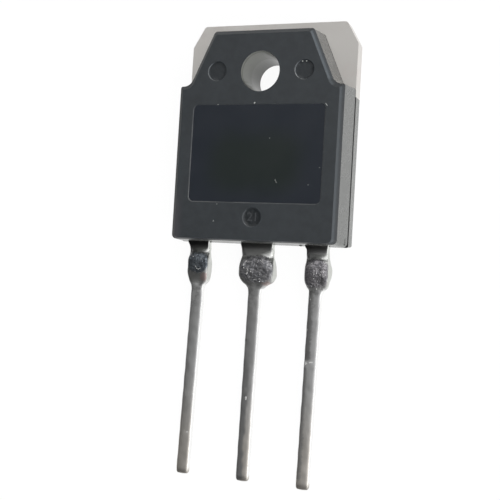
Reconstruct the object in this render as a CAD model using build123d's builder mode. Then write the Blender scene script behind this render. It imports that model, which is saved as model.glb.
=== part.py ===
from build123d import *
from math import hypot, radians, tan
import os

# An insulated-gate bipolar transistor in a three-lead, plate-backed epoxy package,
# taken off a board: solder still sits round the shoulders of its leads.
#
# Frame, in millimetres: the origin is on the axis of the mounting hole, on the metal back.
# +Z points out of the marked front face, +Y towards the plate's bare top edge,
# and the leads run along -Y. The part lies on its metal back.

# ---- package ----------------------------------------------------------------------------
BODY_WIDTH = 15.6          # epoxy body at its parting line, and the plate
BODY_THICKNESS = 4.65      # metal back to front face
BODY_BOTTOM = -14.87       # edge that the leads come out of
SHOULDER_Y = -0.92         # where the full-width block ends and the nose begins
SHOULDER_STEP = 0.96       # how far the block stands out beside the nose
NOSE_TOP_Y = 3.95          # top edge of the nose, at the parting line
NOSE_TOP_WIDTH = 9.44
SIDE_DRAFT = 5.0           # degrees, all round the upper half of the mould
BOTTOM_DRAFT = 1.5         # degrees, on the lead side
FRONT_BEVEL = 0.38         # round the front face, apart from the lead side
BOTTOM_BEVEL = 0.1
SHOULDER_FILLET = 0.95     # inside corner between nose and shoulder
SHOULDER_CORNER = 0.26     # at the parting line; sharper towards the front
NOSE_CORNER = 0.35
BOTTOM_CORNER = 0.42
FLANK_TOP_Y = -1.7         # lower half of the mould reaches up to here beside the plate
FLANK_WALL = 1.35          # its epoxy on each side of the plate
LOWER_CORNER = 0.15
WITNESS_HEIGHT = 0.2       # line set in between the two halves of the mould
WITNESS_DEPTH = 0.1

# ---- mounting hole ----------------------------------------------------------------------
HOLE_RADIUS = 1.6
HOLE_FLARE = 0.175         # how much wider its radius is at the front face
HOLE_STRAIGHT = 2.4        # height of the cylindrical stretch above the back
HOLE_LINING = 1.0          # epoxy between the bore and the plate

# ---- front face: lifts are measured up from the body's lower edge ---------------------------
PANEL_MARGIN = 1.75        # between the marking panel and the body's sides
PANEL_TOP_Y = -2.9
PANEL_LIFT = 3.4
PANEL_CORNER = 0.45
PANEL_DEPTH = 0.04
PIN_MARK_RADIUS = 0.85
PIN_MARK_DEPTH = 0.1
PIN_MARK_SPREAD = 8.0      # between the two marks beside the hole
PIN_MARK_HIGH_Y = 0.07
PIN_MARK_LIFT = 2.15       # the third mark, below the panel

# ---- collector plate --------------------------------------------------------------------
PLATE_THICKNESS = 1.5      # also the height of the mould's parting line
PLATE_TOP_Y = 5.0
PLATE_CUT_WIDTH = 1.1      # top corners cut off
PLATE_CUT_HEIGHT = 1.95
PLATE_CORNER = 0.35
PLATE_LIFT = 2.27          # its lower edge above the body's
LOCK_LIP = 0.35            # coined lip that the epoxy grips under
LOCK_LIP_HEIGHT = 0.8      # underside of the lip above the back
GROOVE_Y = -3.6            # moisture groove across the plate, above the die
GROOVE_WIDTH = 0.5
GROOVE_DEPTH = 0.25

# ---- leads: lengths are measured down from the body's lower edge ----------------------------
LEAD_PITCH = 5.45
LEAD_THICKNESS = 0.6
LEAD_BACK_Z = 2.1          # underside of the leads above the metal back
LEAD_WIDTH = 1.0
LEAD_LENGTH = 20.73
LENGTH_STEP = 0.1          # the emitter lead is this much longer
LEAD_EDGE = 0.08           # rounding along the stamped edges
SHOULDER_WIDTH = 1.72      # gate and emitter leads, outside the body
CENTRE_SHOULDER_WIDTH = 2.76
ROOT_FLARE = 0.12          # each side, where a lead leaves the epoxy
ROOT_LENGTH = 0.75
SHOULDER_LENGTH = 3.13
TAPER_LENGTH = 0.5         # shoulder down to the thin lead
BEND_LENGTH = 5.13         # beyond here the thin leads lean a little
GATE_LEAN = -0.40          # sideways shift of each tip
COLLECTOR_LEAN = -0.14
EMITTER_LEAN = -0.20

# ---- inner ends of the leads ------------------------------------------------------------
POST_LIFT = 2.12           # top of the wire posts above the body's lower edge
POST_HEIGHT = 1.2
POST_WALL = 0.9            # epoxy outside the posts
POST_GAP = 1.2             # between the emitter's post and the collector lead
POST_CORNER = 0.25
GATE_POST_WIDTH = 2.9
JOGGLE_LIFT = 2.17         # the collector lead climbs from the plate to the lead plane
JOGGLE_LENGTH = 1.4

# ---- die, solder under it and wires ------------------------------------------------------
DIE_WIDTH = 6.4
DIE_HEIGHT = 6.0
DIE_THICKNESS = 0.2
DIE_LIFT = 4.7             # its centre above the plate's lower edge
ATTACH_THICKNESS = 0.06
ATTACH_MARGIN = 0.25
GATE_WIRE_DIAMETER = 0.2
EMITTER_WIRE_DIAMETER = 0.38
EMITTER_WIRE_COUNT = 3
EMITTER_WIRE_MARGIN = 0.85 # outer wires inside the post's ends
GATE_PAD_X = -2.2
GATE_PAD_DROP = 2.2        # below the die's centre
EMITTER_PAD_X = 1.15       # middle wire's bond on the die
EMITTER_PAD_DROP = 0.3
GATE_LOOP_RISE = 0.55      # loop top above the higher bond
EMITTER_LOOP_RISE = 0.75
LOOP_PEAK = 0.42           # share of the span at which a loop is highest
WIRE_BEND = 3.0            # these five are in wire diameters
WIRE_FOOT = 2.2
WEDGE_LENGTH = 3.8
WEDGE_WIDTH = 1.5
WEDGE_HEIGHT = 0.6

# ---- solder left on the shoulders ---------------------------------------------------------
SOLDER_START = 1.03        # below the body's lower edge
SOLDER_END = 3.88
SOLDER_SKIN = 0.07         # where it thins out, at each end
SOLDER_FRONT = 0.42        # in front of a lead
SOLDER_BACK = 0.35         # behind it
SOLDER_ROUNDNESS = 0.42    # corner radius as a share of the lump's depth
GATE_SOLDER_SIDE = 0.27    # how far each lump stands out beside its lead
COLLECTOR_SOLDER_SIDE = 0.37
EMITTER_SOLDER_SIDE = 0.33
GATE_DRIFT = 0.02          # each lump sags a little to one side
COLLECTOR_DRIFT = 0.08
EMITTER_DRIFT = 0.17
# How far down a lump, and its fullness there.
SOLDER_PROFILE = ((0, 0), (0.12, 0.55), (0.35, 0.92), (0.58, 1.0), (0.8, 0.75), (0.92, 0.4), (1, 0))

# ---- what follows from them ----------------------------------------------------------------
NOSE_BASE_WIDTH = BODY_WIDTH - 2 * SHOULDER_STEP
PLATE_NECK_WIDTH = BODY_WIDTH - 2 * FLANK_WALL
PLATE_BOTTOM = BODY_BOTTOM + PLATE_LIFT
LINING_RADIUS = HOLE_RADIUS + HOLE_LINING
LEAD_FRONT_Z = LEAD_BACK_Z + LEAD_THICKNESS
LEAD_TIP = BODY_BOTTOM - LEAD_LENGTH
SHOULDER_END = BODY_BOTTOM - SHOULDER_LENGTH
ROOT_END = BODY_BOTTOM - ROOT_LENGTH
CENTRE_ROOT_WIDTH = CENTRE_SHOULDER_WIDTH + 2 * ROOT_FLARE
POST_MIDDLE = BODY_BOTTOM + POST_LIFT - POST_HEIGHT / 2
POST_OUTER_X = BODY_WIDTH / 2 - POST_WALL
EMITTER_POST_WIDTH = POST_OUTER_X - CENTRE_ROOT_WIDTH / 2 - POST_GAP
EMITTER_POST_X = POST_OUTER_X - EMITTER_POST_WIDTH / 2
EMITTER_WIRE_SPACING = (EMITTER_POST_WIDTH - 2 * EMITTER_WIRE_MARGIN) / (EMITTER_WIRE_COUNT - 1)
JOGGLE_START = BODY_BOTTOM + JOGGLE_LIFT
JOGGLE_END = JOGGLE_START - JOGGLE_LENGTH
DIE_Y = PLATE_BOTTOM + DIE_LIFT
DIE_TOP_Z = PLATE_THICKNESS + ATTACH_THICKNESS + DIE_THICKNESS
OVERCUT = 1.0              # cutting past a face
HAIR = 0.01                # for telling edges apart


def save(piece, name):
    piece.part.label = name
    export_step(piece.part, f"parts/{name}.step")


# ---- leads ------------------------------------------------------------------------------
def lead_outline(x, shoulder, lean, tip, root):
    """Plan of one lead: flared root, shoulder, taper and thin leaning lead with a round tip."""
    half, thin, flare = shoulder / 2, LEAD_WIDTH / 2, shoulder / 2 + ROOT_FLARE
    taper = SHOULDER_END - TAPER_LENGTH
    bend = BODY_BOTTOM - BEND_LENGTH
    tip_centre = tip + thin
    with BuildSketch(Plane.XY.offset(LEAD_BACK_Z)) as outline:
        with BuildLine():
            Polyline(
                (x - flare, root), (x - flare, BODY_BOTTOM), (x - half, ROOT_END),
                (x - half, SHOULDER_END), (x - thin, taper), (x + thin, taper),
                (x + half, SHOULDER_END), (x + half, ROOT_END),
                (x + flare, BODY_BOTTOM), (x + flare, root), close=True,
            )
        make_face()
        with BuildLine():
            Polyline(
                (x - thin, taper), (x - thin, bend), (x + lean - thin, tip_centre),
                (x + lean + thin, tip_centre), (x + thin, bend), (x + thin, taper), close=True,
            )
        make_face()
        with Locations((x + lean, tip_centre)):
            Circle(thin)
    return outline.sketch


def round_stamped_edges():
    """Soften the long edges of the bare lead, clear of the epoxy."""
    bare = edges().filter_by(lambda e: e.bounding_box().max.Y < ROOT_END - HAIR)
    fillet(bare.filter_by(lambda e: e.bounding_box().size.Z < HAIR), LEAD_EDGE)


def make_posted_lead(x, lean, post_x, post_width, tip):
    """Gate or emitter lead, with the wire post that its root widens into inside the epoxy."""
    with BuildPart() as lead:
        add(lead_outline(x, SHOULDER_WIDTH, lean, tip, POST_MIDDLE))
        extrude(amount=LEAD_THICKNESS)
        with BuildSketch(Plane.XY.offset(LEAD_BACK_Z)):
            with Locations((post_x, POST_MIDDLE)):
                RectangleRounded(post_width, POST_HEIGHT, POST_CORNER)
        extrude(amount=LEAD_THICKNESS)
        round_stamped_edges()
    return lead


def make_gate_lead():
    post_x = GATE_POST_WIDTH / 2 - POST_OUTER_X
    return make_posted_lead(-LEAD_PITCH, GATE_LEAN, post_x, GATE_POST_WIDTH, LEAD_TIP)


def make_emitter_lead():
    tip = LEAD_TIP - LENGTH_STEP
    return make_posted_lead(LEAD_PITCH, EMITTER_LEAN, EMITTER_POST_X, EMITTER_POST_WIDTH, tip)


# ---- collector plate with its own lead ------------------------------------------------------
def make_collector_plate():
    """Heat spreader, and the middle lead that is rolled thinner from the same strip."""
    wide, neck = BODY_WIDTH / 2, PLATE_NECK_WIDTH / 2
    top = wide - PLATE_CUT_WIDTH
    lip_height = FLANK_TOP_Y - PLATE_BOTTOM + LOCK_LIP
    with BuildPart() as plate:
        with BuildSketch():
            with BuildLine():
                Polyline(
                    (0, PLATE_TOP_Y), (top, PLATE_TOP_Y), (wide, PLATE_TOP_Y - PLATE_CUT_HEIGHT),
                    (wide, FLANK_TOP_Y), (neck, FLANK_TOP_Y), (neck, PLATE_BOTTOM),
                    (0, PLATE_BOTTOM),
                )
                mirror(about=Plane.YZ)
            make_face()
        extrude(amount=PLATE_THICKNESS)
        # The lip stands out above the back, so the epoxy holds the plate in.
        with BuildSketch(Plane.XY.offset(LOCK_LIP_HEIGHT)):
            with Locations((0, FLANK_TOP_Y - lip_height / 2)):
                Rectangle(PLATE_NECK_WIDTH + 2 * LOCK_LIP, lip_height)
        extrude(amount=PLATE_THICKNESS - LOCK_LIP_HEIGHT)
        upright = plate.edges().filter_by(Axis.Z)
        fillet(upright.filter_by(lambda e: e.center().Y > 0), PLATE_CORNER)
        # Opening that the epoxy lines.
        with BuildSketch():
            Circle(LINING_RADIUS)
        extrude(amount=PLATE_THICKNESS, mode=Mode.SUBTRACT)
        # Moisture groove.
        with BuildSketch(Plane.YZ.offset(-neck)):
            with BuildLine():
                Polyline(
                    (GROOVE_Y - GROOVE_WIDTH / 2, PLATE_THICKNESS),
                    (GROOVE_Y + GROOVE_WIDTH / 2, PLATE_THICKNESS),
                    (GROOVE_Y, PLATE_THICKNESS - GROOVE_DEPTH), close=True,
                )
            make_face()
        extrude(amount=PLATE_NECK_WIDTH, mode=Mode.SUBTRACT)
        # Joggle from the plate up to the lead plane, then the lead itself.
        low = PLATE_THICKNESS - LEAD_THICKNESS
        with BuildSketch(Plane.YZ.offset(-CENTRE_ROOT_WIDTH / 2)):
            with BuildLine():
                Polyline(
                    (PLATE_BOTTOM, low), (JOGGLE_START - LOCK_LIP, low), (JOGGLE_END, LEAD_BACK_Z),
                    (JOGGLE_END, LEAD_FRONT_Z), (JOGGLE_END + LEAD_THICKNESS / 2, LEAD_FRONT_Z),
                    (JOGGLE_START, PLATE_THICKNESS), (PLATE_BOTTOM, PLATE_THICKNESS), close=True,
                )
            make_face()
        extrude(amount=CENTRE_ROOT_WIDTH)
        add(lead_outline(0, CENTRE_SHOULDER_WIDTH, COLLECTOR_LEAN, LEAD_TIP, JOGGLE_END))
        extrude(amount=LEAD_THICKNESS)
        round_stamped_edges()
    return plate


# ---- die and what bonds it --------------------------------------------------------------
def make_die_attach():
    with BuildPart() as attach:
        with BuildSketch(Plane.XY.offset(PLATE_THICKNESS)):
            with Locations((0, DIE_Y)):
                Rectangle(DIE_WIDTH + 2 * ATTACH_MARGIN, DIE_HEIGHT + 2 * ATTACH_MARGIN)
            fillet(vertices(), ATTACH_MARGIN)
        extrude(amount=ATTACH_THICKNESS)
    return attach


def make_die():
    with BuildPart() as die:
        with BuildSketch(Plane.XY.offset(PLATE_THICKNESS + ATTACH_THICKNESS)):
            with Locations((0, DIE_Y)):
                Rectangle(DIE_WIDTH, DIE_HEIGHT)
        extrude(amount=DIE_THICKNESS)
    return die


def make_bond_wire(start, end, diameter, rise):
    """Wedge-bonded wire: a foot on the die, a loop, and a foot on the post."""
    radius, foot = diameter / 2, WIRE_FOOT * diameter
    span = hypot(end[0] - start[0], end[1] - start[1])
    along = ((end[0] - start[0]) / span, (end[1] - start[1]) / span, 0)
    upright = Plane((start[0], start[1], 0), x_dir=along, z_dir=(along[1], -along[0], 0))
    low, high = DIE_TOP_Z + radius, LEAD_FRONT_Z + radius
    with BuildPart() as wire:
        with BuildLine(upright) as path:
            FilletPolyline(
                (0, low), (foot, low), (span * LOOP_PEAK, high + rise), (span - foot, high),
                (span, high), radius=WIRE_BEND * diameter,
            )
        with BuildSketch(Plane(path.line @ 0, z_dir=path.line % 0)):
            Circle(radius)
        sweep()
        for point, level in ((start, DIE_TOP_Z), (end, LEAD_FRONT_Z)):
            with BuildSketch(Plane((point[0], point[1], level), x_dir=along)):
                Rectangle(WEDGE_LENGTH * diameter, WEDGE_WIDTH * diameter)
            extrude(amount=WEDGE_HEIGHT * diameter)
    return wire


def make_gate_wire():
    pad, post = (GATE_PAD_X, DIE_Y - GATE_PAD_DROP), (-LEAD_PITCH, POST_MIDDLE)
    return make_bond_wire(pad, post, GATE_WIRE_DIAMETER, GATE_LOOP_RISE)


def make_emitter_wire(index):
    offset = (index - (EMITTER_WIRE_COUNT - 1) / 2) * EMITTER_WIRE_SPACING
    pad = (EMITTER_PAD_X + offset, DIE_Y - EMITTER_PAD_DROP)
    post = (EMITTER_POST_X + offset, POST_MIDDLE)
    return make_bond_wire(pad, post, EMITTER_WIRE_DIAMETER, EMITTER_LOOP_RISE)


# ---- epoxy body ---------------------------------------------------------------------------
def mould_section(height, inset, low_inset):
    """Plan of the epoxy at one height: the parting outline moved in by its draft."""
    half, top, base = BODY_WIDTH / 2, NOSE_TOP_WIDTH / 2, NOSE_BASE_WIDTH / 2
    with BuildSketch(Plane.XY.offset(height)) as section:
        with BuildLine():
            Polyline(
                (0, NOSE_TOP_Y), (top, NOSE_TOP_Y), (base, SHOULDER_Y), (half, SHOULDER_Y),
                (half, BODY_BOTTOM - OVERCUT), (0, BODY_BOTTOM - OVERCUT),
            )
            mirror(about=Plane.YZ)
        make_face()
        if inset > 0:
            offset(amount=-inset, kind=Kind.INTERSECTION)
        with Locations((0, BODY_BOTTOM + low_inset - OVERCUT)):
            Rectangle(2 * BODY_WIDTH, 2 * OVERCUT, mode=Mode.SUBTRACT)
        divide = half - SHOULDER_STEP / 2 - inset
        for radius, chosen in (
            (NOSE_CORNER, lambda v: v.Y > NOSE_TOP_Y / 2),
            (BOTTOM_CORNER, lambda v: v.Y < BODY_BOTTOM / 2),
            (SHOULDER_CORNER * (1 - inset), lambda v: abs(v.Y) < NOSE_TOP_Y / 2 and abs(v.X) > divide),
            (SHOULDER_FILLET, lambda v: abs(v.Y) < NOSE_TOP_Y / 2 and abs(v.X) < divide),
        ):
            fillet(section.vertices().filter_by(chosen), radius)
    return section.sketch


def flank_section(height, side_inset, low_inset):
    """Plan of the mould's lower half, beside and below the plate."""
    bottom = BODY_BOTTOM + low_inset
    with BuildSketch(Plane.XY.offset(height)) as section:
        with Locations((0, (FLANK_TOP_Y + bottom) / 2)):
            Rectangle(BODY_WIDTH - 2 * side_inset, FLANK_TOP_Y - bottom)
        fillet(section.vertices().filter_by(lambda v: v.Y < BODY_BOTTOM / 2), LOWER_CORNER)
    return section.sketch


def make_epoxy_body(inner_pieces):
    """Moulded round everything else: drafted nose and block, lined hole, panel and pin marks."""
    slope, low_slope = tan(radians(SIDE_DRAFT)), tan(radians(BOTTOM_DRAFT))
    bevel_z = BODY_THICKNESS - FRONT_BEVEL
    rise = bevel_z - PLATE_THICKNESS
    witness_z = PLATE_THICKNESS - WITNESS_HEIGHT
    with BuildPart() as body:
        # Upper half of the mould, then the bevel round the front face.
        add(mould_section(PLATE_THICKNESS, 0, 0))
        add(mould_section(bevel_z, rise * slope, rise * low_slope))
        loft(ruled=True)
        add(mould_section(bevel_z, rise * slope, rise * low_slope))
        add(mould_section(BODY_THICKNESS, rise * slope + FRONT_BEVEL, rise * low_slope + BOTTOM_BEVEL))
        loft(ruled=True)
        # Lower half: flanks beside the plate and a strip below it, drafted on the lead side only.
        add(flank_section(0, 0, PLATE_THICKNESS * slope))
        add(flank_section(witness_z, 0, WITNESS_HEIGHT * slope))
        loft(ruled=True)
        # Witness line, set in between the two halves.
        add(flank_section(witness_z, WITNESS_DEPTH, WITNESS_DEPTH))
        extrude(amount=WITNESS_HEIGHT)
        # Epoxy between the bore and the plate.
        with BuildSketch():
            Circle(LINING_RADIUS)
        extrude(amount=PLATE_THICKNESS)
        # Mounting hole: straight at the back, drafted towards the front.
        with BuildSketch(Plane.XZ):
            with BuildLine():
                Polyline(
                    (0, 0), (HOLE_RADIUS, 0), (HOLE_RADIUS, HOLE_STRAIGHT),
                    (HOLE_RADIUS + HOLE_FLARE, BODY_THICKNESS), (0, BODY_THICKNESS), close=True,
                )
            make_face()
        revolve(axis=Axis.Z, mode=Mode.SUBTRACT)
        # Marking panel.
        panel_bottom = BODY_BOTTOM + PANEL_LIFT
        with BuildSketch(Plane.XY.offset(BODY_THICKNESS)):
            with Locations((0, (PANEL_TOP_Y + panel_bottom) / 2)):
                RectangleRounded(BODY_WIDTH - 2 * PANEL_MARGIN, PANEL_TOP_Y - panel_bottom, PANEL_CORNER)
        extrude(amount=-PANEL_DEPTH, mode=Mode.SUBTRACT)
        # Ejector pin marks.
        with BuildSketch(Plane.XY.offset(BODY_THICKNESS)):
            with Locations(
                (-PIN_MARK_SPREAD / 2, PIN_MARK_HIGH_Y), (PIN_MARK_SPREAD / 2, PIN_MARK_HIGH_Y),
                (0, BODY_BOTTOM + PIN_MARK_LIFT),
            ):
                Circle(PIN_MARK_RADIUS)
        extrude(amount=-PIN_MARK_DEPTH, mode=Mode.SUBTRACT)
        # Everything that the epoxy was moulded round.
        for piece in inner_pieces:
            add(piece.part, mode=Mode.SUBTRACT)
    return body


# ---- solder left from the board --------------------------------------------------------------
def lead_half_width(y, shoulder):
    """Half width of a lead at one height: shoulder, taper, then the thin lead."""
    taper = min(max((SHOULDER_END - y) / TAPER_LENGTH, 0), 1)
    return (shoulder + (LEAD_WIDTH - shoulder) * taper) / 2


def make_solder(x, lead, shoulder, side, drift):
    """Lump of solder frozen round a lead's shoulder, thin at both ends and full in the middle."""
    middle_z = (LEAD_BACK_Z + LEAD_FRONT_Z) / 2
    with BuildPart() as lump:
        for along, share in SOLDER_PROFILE:
            y = BODY_BOTTOM - SOLDER_START - (SOLDER_END - SOLDER_START) * along
            width = 2 * (lead_half_width(y, shoulder) + SOLDER_SKIN + (side - SOLDER_SKIN) * share)
            above = SOLDER_SKIN + (SOLDER_FRONT - SOLDER_SKIN) * share
            below = SOLDER_SKIN + (SOLDER_BACK - SOLDER_SKIN) * share
            depth = LEAD_THICKNESS + above + below
            centre = (x + drift * share, y, middle_z + (above - below) / 2)
            with BuildSketch(Plane(centre, x_dir=(1, 0, 0), z_dir=(0, -1, 0))):
                RectangleRounded(width, depth, SOLDER_ROUNDNESS * depth)
        loft()
        add(lead.part, mode=Mode.SUBTRACT)
    return lump


if __name__ == "__main__":
    os.makedirs("parts", exist_ok=True)
    plate = make_collector_plate()
    gate_lead = make_gate_lead()
    emitter_lead = make_emitter_lead()
    inner = {
        "die_attach_solder": make_die_attach(),
        "igbt_die": make_die(),
        "gate_wire": make_gate_wire(),
    }
    for index in range(EMITTER_WIRE_COUNT):
        inner[f"emitter_wire_{index + 1}"] = make_emitter_wire(index)
    save(plate, "collector_plate")
    save(gate_lead, "gate_lead")
    save(emitter_lead, "emitter_lead")
    for name, piece in inner.items():
        save(piece, name)
    save(make_epoxy_body([plate, gate_lead, emitter_lead, *inner.values()]), "epoxy_body")
    for name, x, lead, shoulder, side, drift in (
        ("gate", -LEAD_PITCH, gate_lead, SHOULDER_WIDTH, GATE_SOLDER_SIDE, GATE_DRIFT),
        ("collector", 0, plate, CENTRE_SHOULDER_WIDTH, COLLECTOR_SOLDER_SIDE, COLLECTOR_DRIFT),
        ("emitter", LEAD_PITCH, emitter_lead, SHOULDER_WIDTH, EMITTER_SOLDER_SIDE, EMITTER_DRIFT),
    ):
        save(make_solder(x, lead, shoulder, side, drift), f"solder_on_{name}_lead")
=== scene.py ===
"""Looks of a three-lead power transistor in a flat moulded housing, lying on its metal back.

Lengths are in millimetres inside the classes and are turned to metres as a piece is made,
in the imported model's frame: X across the leads, Y towards the mounting plate, Z out of the
moulded front face.
"""

from __future__ import annotations

import logging
import math
from collections.abc import Callable, Sequence
from dataclasses import dataclass, fields
from enum import Enum

import bmesh
import bpy
from bmesh.types import BMEdge, BMesh, BMFace, BMVert
from bpy.types import Material, NodeSocket, Object, ShaderNode, ShaderNodeTree
from mathutils import Matrix, Vector, noise

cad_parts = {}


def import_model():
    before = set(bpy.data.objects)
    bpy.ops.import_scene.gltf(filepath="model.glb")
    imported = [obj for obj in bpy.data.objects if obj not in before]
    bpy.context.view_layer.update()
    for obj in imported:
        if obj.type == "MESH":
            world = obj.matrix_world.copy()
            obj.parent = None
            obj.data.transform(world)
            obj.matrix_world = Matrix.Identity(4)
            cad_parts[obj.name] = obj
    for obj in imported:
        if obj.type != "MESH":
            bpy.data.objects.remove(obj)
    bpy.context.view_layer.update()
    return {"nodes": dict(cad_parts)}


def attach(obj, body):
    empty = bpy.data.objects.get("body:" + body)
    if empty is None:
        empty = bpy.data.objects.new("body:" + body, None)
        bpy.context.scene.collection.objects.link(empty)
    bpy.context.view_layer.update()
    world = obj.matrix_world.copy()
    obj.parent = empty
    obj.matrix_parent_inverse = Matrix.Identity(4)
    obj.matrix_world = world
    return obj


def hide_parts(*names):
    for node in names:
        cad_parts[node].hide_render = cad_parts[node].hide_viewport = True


MM = 0.001
BODY = "root"
FRONT = 4.65  # height of the moulded front face
HOLE = (0.0, 0.0)  # axis of the mounting hole
EJECTOR_MARKS = ((-4.0, 0.07), (4.0, 0.07))  # middles of the round marks beside the hole
CAVITY_MARK = (0.0, -12.72)  # middle of the round mark near the leads
LEAD_HEIGHT = 2.4  # middle of the leads above the metal back

log = logging.getLogger("power_transistor")

Colour = tuple[float, float, float]
Point2 = tuple[float, float]
Point3 = tuple[float, float, float]
Number = NodeSocket | float

WHITE: Colour = (1.0, 1.0, 1.0)


class Node(Enum):
    """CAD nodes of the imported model, by what they are."""

    HOUSING = "epoxy_body"
    PLATE = "collector_plate"
    GATE_LEAD = "gate_lead"
    EMITTER_LEAD = "emitter_lead"
    DIE_ATTACH = "die_attach_solder"
    DIE = "igbt_die"
    GATE_WIRE = "gate_wire"
    WIRE_1 = "emitter_wire_1"
    WIRE_2 = "emitter_wire_2"
    WIRE_3 = "emitter_wire_3"
    GATE_SOLDER = "solder_on_gate_lead"
    COLLECTOR_SOLDER = "solder_on_collector_lead"
    EMITTER_SOLDER = "solder_on_emitter_lead"


class Slot(Enum):
    """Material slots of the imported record."""

    EPOXY = "epoxy"
    PLATE = "plate_metal"
    LEAD = "lead_metal"
    SOLDER = "solder"
    DIE_ATTACH = "die_attach"
    SILICON = "silicon"
    WIRE = "bond_wire"


# ---------------------------------------------------------------- finishes


class NodeBench:
    """Lays out shader nodes in a node tree, one sum at a time."""

    def __init__(self, tree: ShaderNodeTree) -> None:
        """Takes up a tree as it stands."""
        self.tree = tree

    def add(self, kind: str) -> ShaderNode:
        """Adds a node of a kind."""
        return self.tree.nodes.new(kind)

    def join(self, source: NodeSocket, target: NodeSocket) -> None:
        """Links two sockets."""
        self.tree.links.new(source, target)

    def feed(self, value: Number | Sequence[float], target: NodeSocket) -> None:
        """Links a socket, or sets a plain value, on a target socket.

        Args:
            value: A socket to link, or a plain value.
            target: The socket that takes it.
        """
        if isinstance(value, NodeSocket):
            self.join(value, target)
        else:
            target.default_value = value

    def sum(self, kind: str, first: Number, second: Number = 0.0) -> NodeSocket:
        """Does one sum on two numbers.

        Args:
            kind: The sum's name in Blender.
            first: A socket or a plain number.
            second: Another; sums of one number leave it out.

        Returns:
            The result.
        """
        node = self.add("ShaderNodeMath")
        node.operation = kind
        self.feed(first, node.inputs[0])
        self.feed(second, node.inputs[1])
        return node.outputs["Value"]

    def plus(self, first: Number, second: Number) -> NodeSocket:
        """Adds two numbers."""
        return self.sum("ADD", first, second)

    def less(self, first: Number, second: Number) -> NodeSocket:
        """Takes the second number from the first."""
        return self.sum("SUBTRACT", first, second)

    def times(self, first: Number, second: Number) -> NodeSocket:
        """Multiplies two numbers."""
        return self.sum("MULTIPLY", first, second)

    def most(self, first: Number, second: Number) -> NodeSocket:
        """Takes the larger of two numbers."""
        return self.sum("MAXIMUM", first, second)

    def other(self, share: NodeSocket) -> NodeSocket:
        """Turns a share into what is left of the whole."""
        return self.less(1.0, share)

    def off(self, value: NodeSocket, middle: float) -> NodeSocket:
        """How far a number is from a middle, either way."""
        return self.sum("ABSOLUTE", self.less(value, middle))

    def ramp(
        self, source: NodeSocket, low: float, high: float, start: float = 0.0, end: float = 1.0
    ) -> NodeSocket:
        """Maps a number smoothly from one span to another and holds it at the ends.

        Args:
            source: The number.
            low: Where the first span starts.
            high: Where it ends, which may be below the start.
            start: What the start gives.
            end: What the end gives.

        Returns:
            The mapped number.
        """
        node = self.add("ShaderNodeMapRange")
        node.interpolation_type = "SMOOTHSTEP"
        for name, value in zip(("From Min", "From Max", "To Min", "To Max"), (low, high, start, end)):
            node.inputs[name].default_value = value
        self.join(source, node.inputs["Value"])
        return node.outputs["Result"]


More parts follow.
